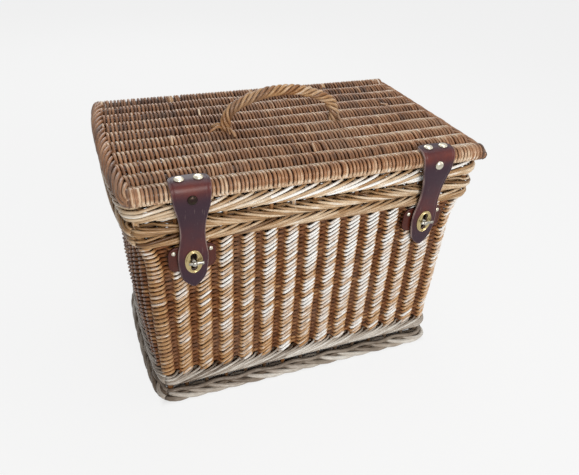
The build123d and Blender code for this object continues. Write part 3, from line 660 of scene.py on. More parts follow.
class HAMPER_OT_wale_bands(bpy.types.Operator):
    """Wind the waled bands, the rim's border and the foot's border round the stakes"""

    bl_idname = "hamper.wale_bands"
    bl_label = "Wale Bands"

    def execute(self, context):
        self.plan = WallPlan()
        self.wind_rim()
        self.wind_foot()
        return {"FINISHED"}

    def wind_rim(self):
        """The band at the walls' top and the border that closes the rim."""
        proud, strands = 4.0, 7
        wale, border = rod_sizes().wale / MM, rod_sizes().border / MM
        low, high = (corner[2] for corner in box_mm("top_wale"))
        rods = Rods(3)
        # Rising strokes below, and above them a row that falls the other way and closes on the rim's border;
        # each row laps the next by a few millimetres
        turn_over = low + 17
        wind_band(rods, self.plan, low - 1, turn_over + 1, proud, strands, wale, 1)
        wind_band(rods, self.plan, turn_over - 2, high + 9, proud, strands, wale, -1)
        rods.piece("top_wale_rods", "rim_varnished_willow", "basket", "rim_willow", "top_wale")

        low, high = (corner[2] for corner in box_mm("top_border"))
        rods = Rods(4)
        # Open along the back, from one back post round the front to the other
        ends = (-SIDE_STAKES - 1.2, FRONT_STAKES + SIDE_STAKES + 2.2)
        wind_band(rods, self.plan, low - 3, high - 0.4, proud, strands, border, 1, ends)
        rods.piece("top_border_rods", "rim_varnished_willow", "basket", "rim_willow", "top_border")

    def wind_foot(self):
        """The band above the foot and the border that the basket stands on."""
        band_proud, band_strands, foot_proud, foot_strands = 4.0, 10, 10.0, 4
        wale, foot = rod_sizes().wale / MM, rod_sizes().foot / MM
        low, high = (corner[2] for corner in box_mm("upsett_wale"))
        rods = Rods(5)
        wind_band(rods, self.plan, low - 2, high + 1, band_proud, band_strands, wale, 1, highlight_and_wear=0.12)
        rods.piece("upsett_rods", "foot_weathered_willow", "basket", "foot_willow", "upsett_wale")

        low, high = (corner[2] for corner in box_mm("foot_border"))
        rods = Rods(6)
        wind_band(rods, self.plan, low, high, foot_proud, foot_strands, foot, -1, highlight_and_wear=0.14, lie=1.7)
        # Rods laid behind the border, which close the foot, their tone lowered as painted shade in its holes
        radius, middle, wave = 2.9, 7.0, 2.0
        stake = np.linspace(0, STAKE_COUNT, 6 * STAKE_COUNT + 1)
        for z in (low + 3, low + 8, low + 13):
            out = middle + wave * np.sin(pi * (stake + z))
            rods.add(self.plan.place(stake, np.full(len(stake), z), out), radius, -0.26, spread=0.05)
        rods.piece("foot_border_rods", "foot_weathered_willow", "basket", "foot_willow", "foot_border")


def stick_row(node, count=1):
    """Middles of a row of sticks from front to back, their height and their radius."""
    low, high = box_mm(node)
    radius = (high[2] - low[2]) / 2
    return np.linspace(low[1] + radius, high[1] - radius, count), low[2] + radius, radius


def over_under(sticks, levels, lifts, first_over):
    """Path across a row of sticks, over one and under the next, as pairs of place and height."""
    signs = np.where((np.arange(len(sticks)) % 2 == 0) == first_over, 1, -1)
    tops = levels + signs * lifts
    share = np.linspace(0, 1, 6, endpoint=False)
    lift = (1 - np.cos(pi * share)) / 2
    path = []
    for i in range(len(sticks) - 1):
        places = sticks[i] + (sticks[i + 1] - sticks[i]) * share
        path += list(zip(places, tops[i] + (tops[i + 1] - tops[i]) * lift))
    path.append((sticks[-1], tops[-1]))
    return path, signs


def arc(centre, radius, first, last, steps):
    """Points on an arc between two angles in degrees."""
    angles = np.radians(np.linspace(first, last, steps))
    return list(zip(centre[0] + radius * np.cos(angles), centre[1] + radius * np.sin(angles)))


class HAMPER_OT_weave_base(bpy.types.Operator):
    """Weave the base over and under its sticks"""

    bl_idname = "hamper.weave_base"
    bl_label = "Weave Base"

    def execute(self, context):
        sizes, rods = rod_sizes(), Rods(7, sides=6)
        radius, pitch, tuck = sizes.base / MM / 2, sizes.base_pitch / MM, 4.0
        low, high = box_mm("base_weave")
        sticks, _, stick_radius = stick_row("base_sticks", BASE_STICKS)
        sticks = np.concatenate(([low[1] - tuck], sticks, [high[1] + tuck]))
        levels = np.full(len(sticks), (low[2] + high[2]) / 2)
        lifts = np.full(len(sticks), stick_radius + 0.6 * radius)
        lifts[[0, -1]] = radius
        for index, x in enumerate(np.arange(low[0] - tuck, high[0] + tuck, pitch)):
            path, _ = over_under(sticks, levels, lifts, index % 2 == 0)
            shift = rods.random.normal(0, 0.3)
            rods.add([(x + shift, y, z) for y, z in path], radius, across=ALONG_X)
        rods.piece("base_rods", "wall_varnished_willow", "basket", "wall_willow", "base_weave")
        use_finish("base_sticks", "handle_varnished_willow")
        return {"FINISHED"}


def lid_bow(x, y, reach_y):
    """How far a rod of the lid at x bows out at y towards the nearer end."""
    bow = -LID_LEFT_BOW if x < 0 else LID_RIGHT_BOW
    # The bow starts 130 mm from the middle and grows over the next 80 mm
    share = np.clip((abs(x) - 130) / 80, 0, 1.1)
    return bow * share * (1 - np.minimum(np.abs(y) / reach_y, 1) ** 2.5)


class HAMPER_OT_weave_lid(bpy.types.Operator):
    """Weave the lid over and under its sticks and wrap the rods round the front and back edges"""

    bl_idname = "hamper.weave_lid"
    bl_label = "Weave Lid"

    def execute(self, context):
        rods = Rods(8, sides=6)
        radius = rod_sizes().lid / MM / 2
        front, edge_z, edge_radius = stick_row("lid_front_stick")
        edge_y, wrap = -front[0], edge_radius + radius
        self.weave(rods, radius, edge_y, edge_z, wrap)
        # Wraps that close the edges up to the corners
        corner_room = 4.0
        for side, end in ((-1, lid_low[0]), (1, lid_high[0])):
            outer = box_mm("lid_right_border")[1][0] + (LID_RIGHT_REACH if side > 0 else 0)
            for turn in range(int((outer - abs(end) - corner_room) / (2 * radius))):
                x = end + side * (turn * 2 - 0.2) * radius
                for y in (-edge_y, edge_y):
                    ring = arc((y, edge_z), wrap, 0, 360, 22)
                    rods.add([(x, *place) for place in ring], radius, across=ALONG_X, spread=0.2)
        # Ends of rods that stand out of the weave, as places on the lid and the way that they point
        share = np.linspace(0, 1, 6)
        loose = ((-96, 52, 1), (38, 88, -1), (-150, -30, 1), (120, -62, 1), (170, 34, -1), (10, -96, 1))
        for x, y, way in loose:
            path = np.column_stack((x + 2 * share, y + way * 15 * share, lid_top - 3 + 4 * share))
            rods.add(path, 1.7, 0.1, ALONG_X, spread=0.05)
        rods.piece("lid_rods", "lid_varnished_willow", "lid", "lid_willow", "lid_weave")
        for node in ("lid_sticks", "lid_front_stick", "lid_back_stick"):
            use_finish(node, "lid_varnished_willow")
        return {"FINISHED"}

    def weave(self, rods, radius, edge_y, edge_z, wrap):
        """The rods from front to back, which leave room at the back for the hinge loops."""
        inner, inner_z, inner_radius = stick_row("lid_sticks", LID_STICKS)
        sticks = np.concatenate(([-edge_y], inner, [edge_y]))
        levels = np.full(len(sticks), inner_z)
        levels[[0, -1]] = edge_z
        lifts = np.full(len(sticks), inner_radius + 0.8 * radius)
        lifts[[0, -1]] = wrap
        loops = [sum(box_mm(f"hinge_loop_{name}"))[0] / 2 for name in LOOPS]
        loop_room, short_of_edge = 3.6, 2.5
        phase = rods.random.uniform(0, 2 * pi, len(sticks))
        start, stop = lid_low[0] - 3 * radius, lid_high[0] + 5 * radius
        for index, x in enumerate(np.arange(start, stop, rod_sizes().lid_pitch / MM)):
            # The bands wander from end to end in long and short waves, as hand weaving does
            waves = 2.2 * np.sin(2 * pi * x / 310 + phase) + 0.9 * np.sin(2 * pi * x / 97 + 2 * phase)
            waves[[0, -1]] = 0
            path, signs = over_under(sticks + waves, levels, lifts, index % 2 == 0)
            # Angles and points of each turn: a rod over an edge's stick wraps it, one under it ends there
            front_turn = (300, 96, 11) if signs[0] > 0 else (228, 262, 4)
            back_turn = (84, -120, 11) if signs[-1] > 0 else (-82, -48, 4)
            path = arc((-edge_y, edge_z), wrap, *front_turn) + path
            if min(abs(x - loop) for loop in loops) < loop_room:
                path = [p for p in path if p[0] < edge_y - (wrap - radius) - short_of_edge]
            else:
                path += arc((edge_y, edge_z), wrap, *back_turn)
            shift, slant = rods.random.normal(0, 0.2), rods.random.normal(0, 0.003)
            y, z = np.array(path).T
            # Painted highlight where a rod falls behind a stick and painted shade where it climbs to it;
            # the front roll gets a painted highlight too
            slope = np.gradient(z) / np.maximum(np.abs(np.gradient(y)), 0.5)
            fall = np.clip(-slope, -0.5, 0.5) * (z > edge_z)
            pale_edge = np.clip((-y - edge_y) / wrap, 0, 1) * (0.75 + 0.25 * np.sin(x / 31))
            tone = 0.45 * fall + 0.24 * pale_edge - 0.05 * y / edge_y + 0.05 * np.sin(x / 43 + y / 57)
            line = np.column_stack((x + shift + slant * y + lid_bow(x, y, edge_y), y, z))
            rods.add(line, radius, tone, ALONG_X, spread=0.06)


def rope(rods, path, across, strands, reach, radius, turn_length, way=1, tone=0.0):
    """Rods twisted round a path; reach is how far their middles lie from it, to the side and up."""
    path = np.asarray(path, float)
    normal, other = square_to(path, across)
    distance = walked(path)
    side, rise = (np.broadcast_to(r, distance.shape)[:, None] for r in reach)
    for strand in range(strands):
        turn = (way * 2 * pi * distance / turn_length + 2 * pi * strand / strands)[:, None]
        wander = rods.waver(distance, np.linspace(0, distance[-1], 9), 0.25)[:, None]
        line = path + (side + wander) * np.cos(turn) * normal + (rise + wander) * np.sin(turn) * other
        rods.add(line, radius, tone, across, spread=0.08)


class HAMPER_OT_plait_lid_ends(bpy.types.Operator):
    """Plait a rope of rods along each end of the lid"""

    bl_idname = "hamper.plait_lid_ends"
    bl_label = "Plait Lid Ends"

    def execute(self, context):
        radius, turn = rod_sizes().plait / MM / 2, rod_sizes().plait_turn / MM
        strands, core_radius = 8, 5.6
        for name, side in SIDES:
            rods = Rods(9 + side, sides=8)
            low, high = box_mm(f"lid_{name}_border")
            middle = (low + high) / 2
            y = np.arange(low[1] + radius + 0.5, high[1] - radius - 0.4, 2.5)
            # The left plait stands up to the lid's top, the right one lies lower on the edge
            drop = 0.0 if side < 0 else 2.2
            x = middle[0] + (LID_RIGHT_REACH if side > 0 else 0) + lid_bow(middle[0], y, high[1])
            path = np.column_stack((x, y, np.full(len(y), middle[2] - drop)))
            # The plait draws in where it turns under the lid's corners
            draw = np.clip(1 - (np.abs(y) / y[-1]) ** 40, 0.4, 1)
            reach = draw * (middle[0] - low[0]) - radius
            rise = draw * ((high[2] - low[2]) / 2 - drop) - radius
            rope(rods, path, UPRIGHT, strands, (reach, rise), radius, turn, side, -0.12)
            # A core inside the plait, painted darker as shade between the strands
            rods.add(path, core_radius, -0.2)
            node = f"lid_{name}_border"
            rods.piece(f"lid_plait_{name}", "lid_varnished_willow", "lid", "lid_willow", node)
        return {"FINISHED"}


def hull_of_circles(circles, steps):
    """Closed oval drawn tight round circles, each given as its middle and radius."""
    oval = []
    for angle in np.linspace(0, 2 * pi, steps):
        out = np.array((cos(angle), sin(angle)))
        centre, radius = max(circles, key=lambda pair: pair[0] @ out + pair[1])
        oval.append(centre + radius * out)
    return np.array(oval)


class HAMPER_OT_wind_hinge(bpy.types.Operator):
    """Lay the twisted back rail and wind the willow loops that hinge the lid on it"""

    bl_idname = "hamper.wind_hinge"
    bl_label = "Wind Hinge"

    def execute(self, context):
        low, high = box_mm("hinge_rail")
        rail_radius = (high[1] - low[1]) / 2
        rail = np.array(((low[1] + high[1]) / 2, high[2] - rail_radius))
        self.twist_rail(np.arange(low[0], high[0] + 1, 5.0), rail, rail_radius)
        back, stick_z, stick_radius = stick_row("lid_back_stick")
        thin = rod_sizes().loop / MM / 2
        rail_room, stick_room = 0.4, 0.3
        circles = (
            (rail, rail_radius + rail_room + thin),
            (np.array((back[0], stick_z)), stick_radius + stick_room + thin),
        )
        oval = hull_of_circles(circles, 49)
        for name in LOOPS:
            rods = Rods(13, sides=8)
            middle = sum(box_mm(f"hinge_loop_{name}"))[0] / 2
            for shift in (-2.6, 0.0, 2.6):
                x = middle + shift + np.linspace(-0.6, 0.6, len(oval))
                rods.add(np.column_stack((x, oval)), thin, across=ALONG_X)
            piece, node = f"hinge_loop_rods_{name}", f"hinge_loop_{name}"
            rods.piece(piece, "handle_varnished_willow", "lid", "handle_willow", node)
        return {"FINISHED"}

    def twist_rail(self, x, rail, rail_radius):
        """Five rods twisted round a core along the back of the rim."""
        strands, strand_radius, core_radius, turn = 5, 3.1, 3.4, 190.0
        rods = Rods(12, sides=8)
        path = np.column_stack((x, np.full(len(x), rail[0]), np.full(len(x), rail[1])))
        reach = rail_radius - strand_radius - 0.2
        rope(rods, path, UPRIGHT, strands, (reach, reach), strand_radius, turn)
        # The core, painted darker as shade between the strands
        rods.add(path, core_radius, -0.2)
        rods.piece("hinge_rail_rods", "rim_varnished_willow", "basket", "rim_willow", "hinge_rail")


def handle_line(foot_z, steps):
    """Middle line of the bow handle: straight legs, round shoulders and a flatter crown."""
    low, high = box_mm("handle_bow")
    bow_radius = (high[1] - low[1]) / 2
    half_span, y = high[0] - bow_radius, (low[1] + high[1]) / 2
    leg_top, shoulder = lid_top + 4.0, 28.0
    rise = high[2] - bow_radius - leg_top
    drop = ((half_span - shoulder) ** 2 - (rise - shoulder) ** 2) / (2 * (rise - shoulder))
    crown = rise + drop
    turn = degrees(acos((half_span - shoulder) / (crown - shoulder)))
    line = [(-half_span, foot_z)]
    line += arc((-half_span + shoulder, leg_top), shoulder, 180, 180 - turn, 14)
    line += arc((0, leg_top - drop), crown, 180 - turn, turn, 30)[1:]
    line += arc((half_span - shoulder, leg_top), shoulder, turn, 0, 14)[1:]
    line = np.array(line + [(half_span, foot_z)])
    x, z = at_distances(line, np.linspace(0, walked(line)[-1], steps)).T
    return np.column_stack((x, np.full(steps, y), z))


class HAMPER_OT_rope_handle(bpy.types.Operator):
    """Rope rods round the bow handle, tie them under the lid and weave their tails into it"""

    bl_idname = "hamper.rope_handle"
    bl_label = "Rope Handle"

    def execute(self, context):
        rods = Rods(15, sides=9)
        radius, turn, strands = rod_sizes().rope / MM / 2, rod_sizes().rope_turn / MM, 5
        low, high = box_mm("handle_rope")
        foot_depth = 17.0
        line = handle_line(lid_top - foot_depth, 150)
        reach = (high[1] - low[1]) / 2 - radius
        # Rubbed pale by hands, most on the right
        rubbed = np.interp(np.linspace(0, 1, len(line)), (0, 0.35, 0.7, 1), (-0.02, 0.1, 0.2, 0.14))
        rope(rods, line, ALONG_Y, strands, (reach, reach), radius, turn, tone=rubbed)
        self.lay_tails(rods, line[0], ((5, -25), (1, -17), (-22, -3), (-15, 14)))
        self.lay_tails(rods, line[-1], ((5, -17), (11, 6)))
        rods.piece("handle_rods", "handle_varnished_willow", "lid", "handle_willow", "handle_rope")
        use_finish("handle_bow", "lid_varnished_willow")

        rods = Rods(16, sides=8)
        tie_top = box_mm("handle_ties")[1][2] - 1.2
        turns, tie_reach, tie_radius = 3.4, 6.2, 1.4
        angle = np.linspace(0, turns * 2 * pi, 90)
        fall = np.linspace(0, 3.4, len(angle))
        for foot in (line[0], line[-1]):
            x, y = foot[0] + tie_reach * np.cos(angle), foot[1] + tie_reach * np.sin(angle)
            rods.add(np.column_stack((x, y, tie_top - fall)), tie_radius)
        rods.piece("handle_tie_rods", "handle_varnished_willow", "lid", "handle_willow", "handle_ties")
        return {"FINISHED"}

    def lay_tails(self, rods, foot, spots):
        """Tails of the rods, which lie over the lid round one foot before they go into the weave."""
        share = np.linspace(0, 1, 12)
        hump = 2.4 * np.sin(pi * np.clip(share * 1.2, 0, 1)) ** 2
        z = lid_top + 1.0 + hump - 3.5 * share**6
        away = 0.15 + 0.85 * share
        for far_x, far_y in spots:
            path = np.column_stack((foot[0] + far_x * away, foot[1] + far_y * away, z))
            rods.add(path, 2.1 * (1 - 0.25 * share), 0.05, spread=0.1)


def circle_edge(drop, points):
    """Half width at a drop on the arc through three points of half width and drop."""
    first, second, third = np.array(points)
    # The middle of the arc's circle is as far from each point as from the others
    sides = 2 * np.array((second - first, third - first))
    middle = np.linalg.solve(sides, (second @ second - first @ first, third @ third - first @ first))
    radius = hypot(*(first - middle))
    bulge = np.sign(second[0] - middle[0])
    return middle[0] + bulge * sqrt(max(radius**2 - (drop - middle[1]) ** 2, 0))


def strap_half_width(drop, from_rear):
    """Half the strap's width at a drop below its fold and a distance from its rear end on the lid."""
    corner, widening, least = 8.0, 25.7, 0.6
    if drop <= 0:
        above = min(-drop / widening, 1)
        half = STRAP_FOLD_WIDTH / 2 + above * (STRAP_TOP_WIDTH - STRAP_FOLD_WIDTH) / 2
    else:
        half = next((circle_edge(drop, points) for end, points in STRAP_ARCS if drop <= end), 0.0)
    if from_rear < corner:
        half -= corner - sqrt(corner**2 - (corner - from_rear) ** 2)
    return max(half, least)


def at_lock(name, points):
    """Points given as right, up and out at one lock, in the frame."""
    out = joint_axes[f"turn_button_{name}_turn"]
    axes = np.array((ALONG_X, np.cross(out, ALONG_X), out))
    return joint_places[f"turn_button_{name}_turn"] + np.asarray(points, float) @ axes


def strap_line(name):
    """Middle of one strap's leather from its rear end on the lid, round the edge and down to the tip."""
    fold = joint_places[f"strap_{name}_fold"]
    _, anchor_high = box_mm(f"strap_anchor_{name}")
    top = anchor_high[2] - LEATHER / 2
    bend, above_lock, below_lock, out = 10.7, 17.5, 48.0, 7.5
    line = [(anchor_high[1], top)]
    line += arc((fold[1] + bend, top - bend), bend, 90, 180, 14)
    line.append((fold[1], fold[2]))
    for up in (above_lock, -below_lock):
        line.append(tuple(at_lock(name, (0, up, out))[1:]))
    line = np.array(line)
    even = np.arange(0, walked(line)[-1], 1.2)
    # Leather bends softly where the straight runs meet
    reach = 4
    window = np.ones(2 * reach + 1) / (2 * reach + 1)
    padding = ((reach, reach), (0, 0))
    padded = np.pad(at_distances(line, even), padding, mode="reflect", reflect_type="odd")
    soft = np.column_stack([np.convolve(part, window, "valid") for part in padded.T])
    short_of_tip = 0.15
    below = fold[2] - soft[:, 1] <= STRAP_LENGTH - short_of_tip
    return even[below], soft[below], fold


def circle(radius, steps):
    """Points of a circle."""
    angles = np.arange(steps) * 2 * pi / steps
    return radius * np.column_stack((np.cos(angles), np.sin(angles)))


def stadium(half_width, half_height, steps):
    """Upright slot outline with round ends."""
    angles = (np.arange(2 * steps) + 0.5) * pi / steps
    straight = half_height - half_width
    heights = half_width * np.sin(angles) + straight * np.sign(np.sin(angles))
    return np.column_stack((half_width * np.cos(angles), heights))


def rounded_rectangle(half_width, half_height, radius, steps):
    """Rounded rectangle as points."""
    points = []
    for x, y, first in ((1, 1, 0), (-1, 1, 90), (-1, -1, 180), (1, -1, 270)):
        corner = (x * (half_width - radius), y * (half_height - radius))
        points += arc(corner, radius, first, first + 90, steps)
    return np.array(points)


def stacked(rings):
    """Points of outlines of right and up, each with its distance out."""
    return np.concatenate([np.column_stack((ring, np.full(len(ring), out))) for ring, out in rings])


def dome(radius, height, steps=20):
    """Points and faces of a domed head with a short upright rim, as right, up and out."""
    profile = ((1.0, -0.3), (1.0, 0.16), (0.94, 0.42), (0.78, 0.7), (0.55, 0.89), (0.28, 0.98), (0.06, 1.0))
    rings = [(circle(radius, steps) * share, height * up) for share, up in profile]
    return stacked(rings), skin(len(profile), steps)


def bar(radius, first, last, steps):
    """Points and faces of a round bar that points out, as right, up and out."""
    return stacked([(circle(radius, steps), out) for out in (first, last)]), skin(2, steps)


def join_parts(parts):
    """One list of points and faces from several."""
    points, faces, count = [], [], 0
    for part_points, part_faces in parts:
        points.append(part_points)
        faces += [[i + count for i in face] for face in part_faces]
        count += len(part_points)
    return np.concatenate(points), faces


class HAMPER_OT_cut_straps(bpy.types.Operator):
    """Cut the leather straps, bend them over the lid's edge and slot them for the locks"""

    bl_idname = "hamper.cut_straps"
    bl_label = "Cut Straps"

    def execute(self, context):
        for name, side in SIDES:
            phase = np.random.default_rng(SEED + 20 + side).uniform(0, 2 * pi, 2)
            distance, line, fold = strap_line(name)
            along = heading(line)
            points, edge_gap, bend_wear = [], [], []
            for walk, (y, z), (along_y, along_z) in zip(distance, line, along):
                half = strap_half_width(fold[2] - z, walk)
                section, near = self.section(half, walk, phase)
                points += [(fold[0] + x, y + n * along_z, z - n * along_y) for x, n in section]
                edge_gap += list(near)
                # Worn where the leather goes round the lid's edge, and less so just above the lock
                bent = exp(-(((walk - 24) / 9) ** 2)) + 0.5 * exp(-(((walk - 100) / 26) ** 2))
                bend_wear += [min(bent, 1.0)] * len(section)
            strap = mesh_piece(
                f"strap_{name}_leather",
                points,
                skin(len(line), len(points) // len(line)),
                "strap_bridle_leather",
                None,
                "strap_leather",
                (f"strap_anchor_{name}", f"strap_flap_{name}"),
                {"edge_gap": edge_gap, "bend_wear": bend_wear},
            )
            self.slot_for_lock(strap, name)
            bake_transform(strap)
        return {"FINISHED"}

    def section(self, half, walk, phase):
        """Ring round the leather as places across and heights, and each place's distance from an edge."""
        # Places in from each edge: rounded edge, a flat, a crease line and the plain middle
        gaps = np.array((0.0, 0.4, 1.1, 2.3, 2.9, 3.5, 6.0)) * min(1.0, half / 8.0)
        lifts = np.array((0.0, 1.1, 1.5, 1.5, 1.15, 1.5, 1.5, 1.5, 1.5))
        insets = np.concatenate((gaps, [half * (0.7 if half > 9 else 0.85), half]))
        across = np.concatenate((-half + insets, (half - insets)[-2::-1]))
        lift, near = (np.concatenate((values, values[-2::-1])) for values in (lifts, insets))
        # A slight ripple below the lid's edge, and a cup across the strap
        ripple = 0.22 * sin(walk / 9 + phase[0]) * np.sin(across / 8 + phase[1])
        sheet = -0.5 * (across / max(half, 6)) ** 2 + ripple * (walk > 30)
        front = np.column_stack((across, sheet + lift))
        back = np.column_stack((across, sheet - lift))[-2:0:-1]
        return np.concatenate((front, back)), np.concatenate((near, near[-2:0:-1]))

    def slot_for_lock(self, strap, name):
        """Cuts the upright slot that goes over the turn button."""
        outline, behind, before = stadium(*SLOT, 24), 3.0, 13.0
        points = at_lock(name, stacked([(outline, behind), (outline, before)]))
        cutter = new_object("slot_cutter", new_mesh("slot_cutter", points, skin(2, len(outline))))
        cut = strap.modifiers.new("slot", "BOOLEAN")
        cut.operation, cut.solver, cut.object = "DIFFERENCE", "EXACT", cutter
        depsgraph = bpy.context.evaluated_depsgraph_get()
        slotted = bpy.data.meshes.new_from_object(strap.evaluated_get(depsgraph))
        strap.modifiers.clear()
        strap.data = slotted
        bpy.data.objects.remove(cutter)


class HAMPER_OT_fit_tabs(bpy.types.Operator):
    """Fit the leather keeper tabs on the wall behind the locks"""

    bl_idname = "hamper.fit_tabs"
    bl_label = "Fit Tabs"

    def execute(self, context):
        half_width, half_height, corner, rise = 28.0, 17.0, 10.0, 1.0
        # The rounded edge, a flat and a crease line, as places in from the edge and heights
        edge = ((0.6, -0.6), (0.0, 0.6), (0.0, 2.2), (0.5, 2.8), (1.2, 3.0))
        profile = (*edge, (2.4, 3.0), (2.9, 2.7), (3.4, 3.0), (8.0, 3.05))
        rings, gaps = [], []
        for inset, height in profile:
            turn = max(corner - inset, 1.0)
            ring = rounded_rectangle(half_width - inset, half_height - inset, turn, 7)
            rings.append((ring + (0, rise), height))
            gaps += [inset if height > 0 else 0.0] * len(ring)
        for name, _ in SIDES:
            mesh_piece(
                f"tab_{name}_leather",
                at_lock(name, stacked(rings)),
                skin(len(rings), len(rings[0][0])),
                "tab_bridle_leather",
                "basket",
                "tab_leather",
                (f"keeper_tab_{name}",),
                {"edge_gap": gaps, "bend_wear": np.full(len(gaps), 0.25)},
            )
        return {"FINISHED"}


class HAMPER_OT_drive_tacks(bpy.types.Operator):
    """Drive the dome-headed tacks through the straps and the rivets through the tabs"""

    bl_idname = "hamper.drive_tacks"
    bl_label = "Drive Tacks"

    def execute(self, context):
        radius, height, spacing, stud_drop = 5.7, 2.8, 21.0, 15.7
        rivet_radius, rivet_height, rivet_x, rivet_up, tab_face = 3.0, 2.0, 21.5, 11.0, 3.0
        head, head_faces = dome(radius, height)
        rivet, rivet_faces = dome(rivet_radius, rivet_height, 16)
        tack_y = sum(box_mm("lid_front_stick"))[1] / 2
        for name, side in SIDES:
            low, high = box_mm(f"strap_tacks_{name}")
            middle = joint_places[f"strap_{name}_fold"][0]
            leather_top, leather_front = high[2] - height, low[1] + height
            parts = []
            for x in (middle - spacing / 2, middle + spacing / 2):
                parts.append((head + (x, tack_y, leather_top), head_faces))
            node = f"strap_tacks_{name}"
            mesh_piece(f"tacks_{name}", *join_parts(parts), "tack_brass", "lid", "rivet_brass", (node,))
            # The left stud has gone dark, the right one is still pale
            stud_finish = "tack_brass" if side > 0 else "stud_browned_brass"
            stud = np.column_stack((head[:, 0], -head[:, 2], head[:, 1]))
            stud = stud + (middle, leather_front, lid_top - stud_drop)
            mesh_piece(f"stud_{name}", stud, head_faces, stud_finish, "lid", "rivet_brass")
            parts = []
            for x in (-rivet_x, rivet_x):
                parts.append((at_lock(name, rivet + (x, rivet_up, tab_face)), rivet_faces))
            node = f"tab_rivets_{name}"
            mesh_piece(f"rivets_{name}", *join_parts(parts), "tack_brass", "basket", "rivet_brass", (node,))
        return {"FINISHED"}


class HAMPER_OT_fit_locks(bpy.types.Operator):
    """Fit the stamped eyelet plates on the straps and the turn buttons on their posts"""

    bl_idname = "hamper.fit_locks"
    bl_label = "Fit Locks"

    def execute(self, context):
        eyelet, button = self.eyelet_parts(), self.button_parts()
        for name, _ in SIDES:
            points, faces = join_parts(eyelet)
            plate, body = at_lock(name, points), f"strap_{name}"
            node = f"eyelet_plate_{name}"
            mesh_piece(f"eyelet_{name}", plate, faces, "lock_brass", body, "lock_brass", (node,))
            points, faces = join_parts(button)
            lever, body = at_lock(name, points), f"turn_button_{name}"
            mesh_piece(f"button_{name}", lever, faces, "button_worn_nickel", body, "lock_brass", (body,))
            for node in ("lock_base", "lock_washer", "eyelet_back"):
                use_finish(f"{node}_{name}", "stud_browned_brass")
        return {"FINISHED"}

    def eyelet_parts(self):
        """The stamped plate with its slot, and the pins above and below the slot."""
        steps, leather_face, lip_width = 28, 9.0, (0.95, 0.9)
        angles = (np.arange(2 * steps) + 0.5) * pi / steps
        oval = np.column_stack((np.cos(angles), np.sin(angles)))
        slot = stadium(*SLOT, steps)
        lip = stadium(SLOT[0] + lip_width[0], SLOT[1] + lip_width[1], steps)
        # Rolled rim, a groove, a flat land and a raised lip round the slot
        rings = [
            (oval * (10.5, 16.0), -0.1),
            (oval * (10.5, 16.0), 0.7),
            (oval * (10.1, 15.6), 1.3),
            (oval * (9.5, 15.1), 1.5),
            (oval * (8.9, 14.6), 1.2),
            (oval * (8.5, 14.3), 0.75),
            (oval * (7.6, 13.9), 0.8),
            (oval * (6.6, 13.6), 1.15),
            (lip, 1.55),
            (slot + (lip - slot) * 0.3, 1.5),
            (slot, 1.1),
            (slot, -0.6),
        ]
        parts = [(stacked(rings) + (0, 0, leather_face), skin(len(rings), 2 * steps, closed=False))]
        pin, pin_faces = dome(0.9, 0.7, 10)
        pin_up, rim_height = 14.9, 1.4
        for up in (-pin_up, pin_up):
            parts.append((pin + (0, up, leather_face + rim_height), pin_faces))
        return parts

    def button_parts(self):
        """A finger lever that widens into a flat oval end, its hub, the post and the washer on its tail."""
        steps, flatness = 14, 0.78
        post_radius, washer_radius, tail = 2.4, 4.0, -17.0
        # Places along the lever, their distance out from the wall, and half the lever's width there
        lever = (
            (-7.0, 13.0, 0.5),
            (-6.2, 13.1, 1.6),
            (-3.6, 13.2, 2.2),
            (0.0, 13.4, 2.7),
            (3.4, 13.4, 2.2),
            (6.2, 13.5, 1.9),
            (8.6, 13.7, 2.3),
            (10.2, 13.8, 2.5),
            (11.2, 13.8, 1.6),
            (11.5, 13.8, 0.4),
        )
        rings = []
        for along, out, half in lever:
            up, thick = (circle(half, steps) * (1, flatness)).T
            rings.append(np.column_stack((np.full(steps, along), up, out + thick)))
        hub, hub_faces = dome(3.1, 1.6, 16)
        return [
            (np.concatenate(rings), skin(len(lever), steps)),
            (hub + (0, 0, 14.9), hub_faces),
            bar(post_radius, tail, lever[0][1], steps),
            bar(washer_radius, tail - 0.2, tail + 1.0, steps),
        ]


def soft_lamp(name, place, size, watts, tint):
    """A square softbox aimed at the hamper's middle."""
    aim = Vector((0.0, 0.0, 0.18))
    lamp = bpy.data.lights.new(name, "AREA")
    lamp.shape, lamp.size, lamp.energy, lamp.color = "SQUARE", size, watts, linear(tint)
    holder = new_object(name, lamp)
    holder.location = place
    holder.rotation_euler = (aim - Vector(place)).to_track_quat("-Z", "Y").to_euler()


def seen_in_picture(tree):
    """One for rays from the camera and those that metal or glass shows, nought for rays that light things."""
    path = add_node(tree, "LightPath").outputs
    mirrored = {0: path["Is Glossy Ray"], 1: path["Is Transmission Ray"]}
    shown = add_node(tree, "Math", mirrored, operation="MAXIMUM").outputs[0]
    return add_node(tree, "Math", {0: path["Is Camera Ray"], 1: shown}, operation="MAXIMUM").outputs[0]


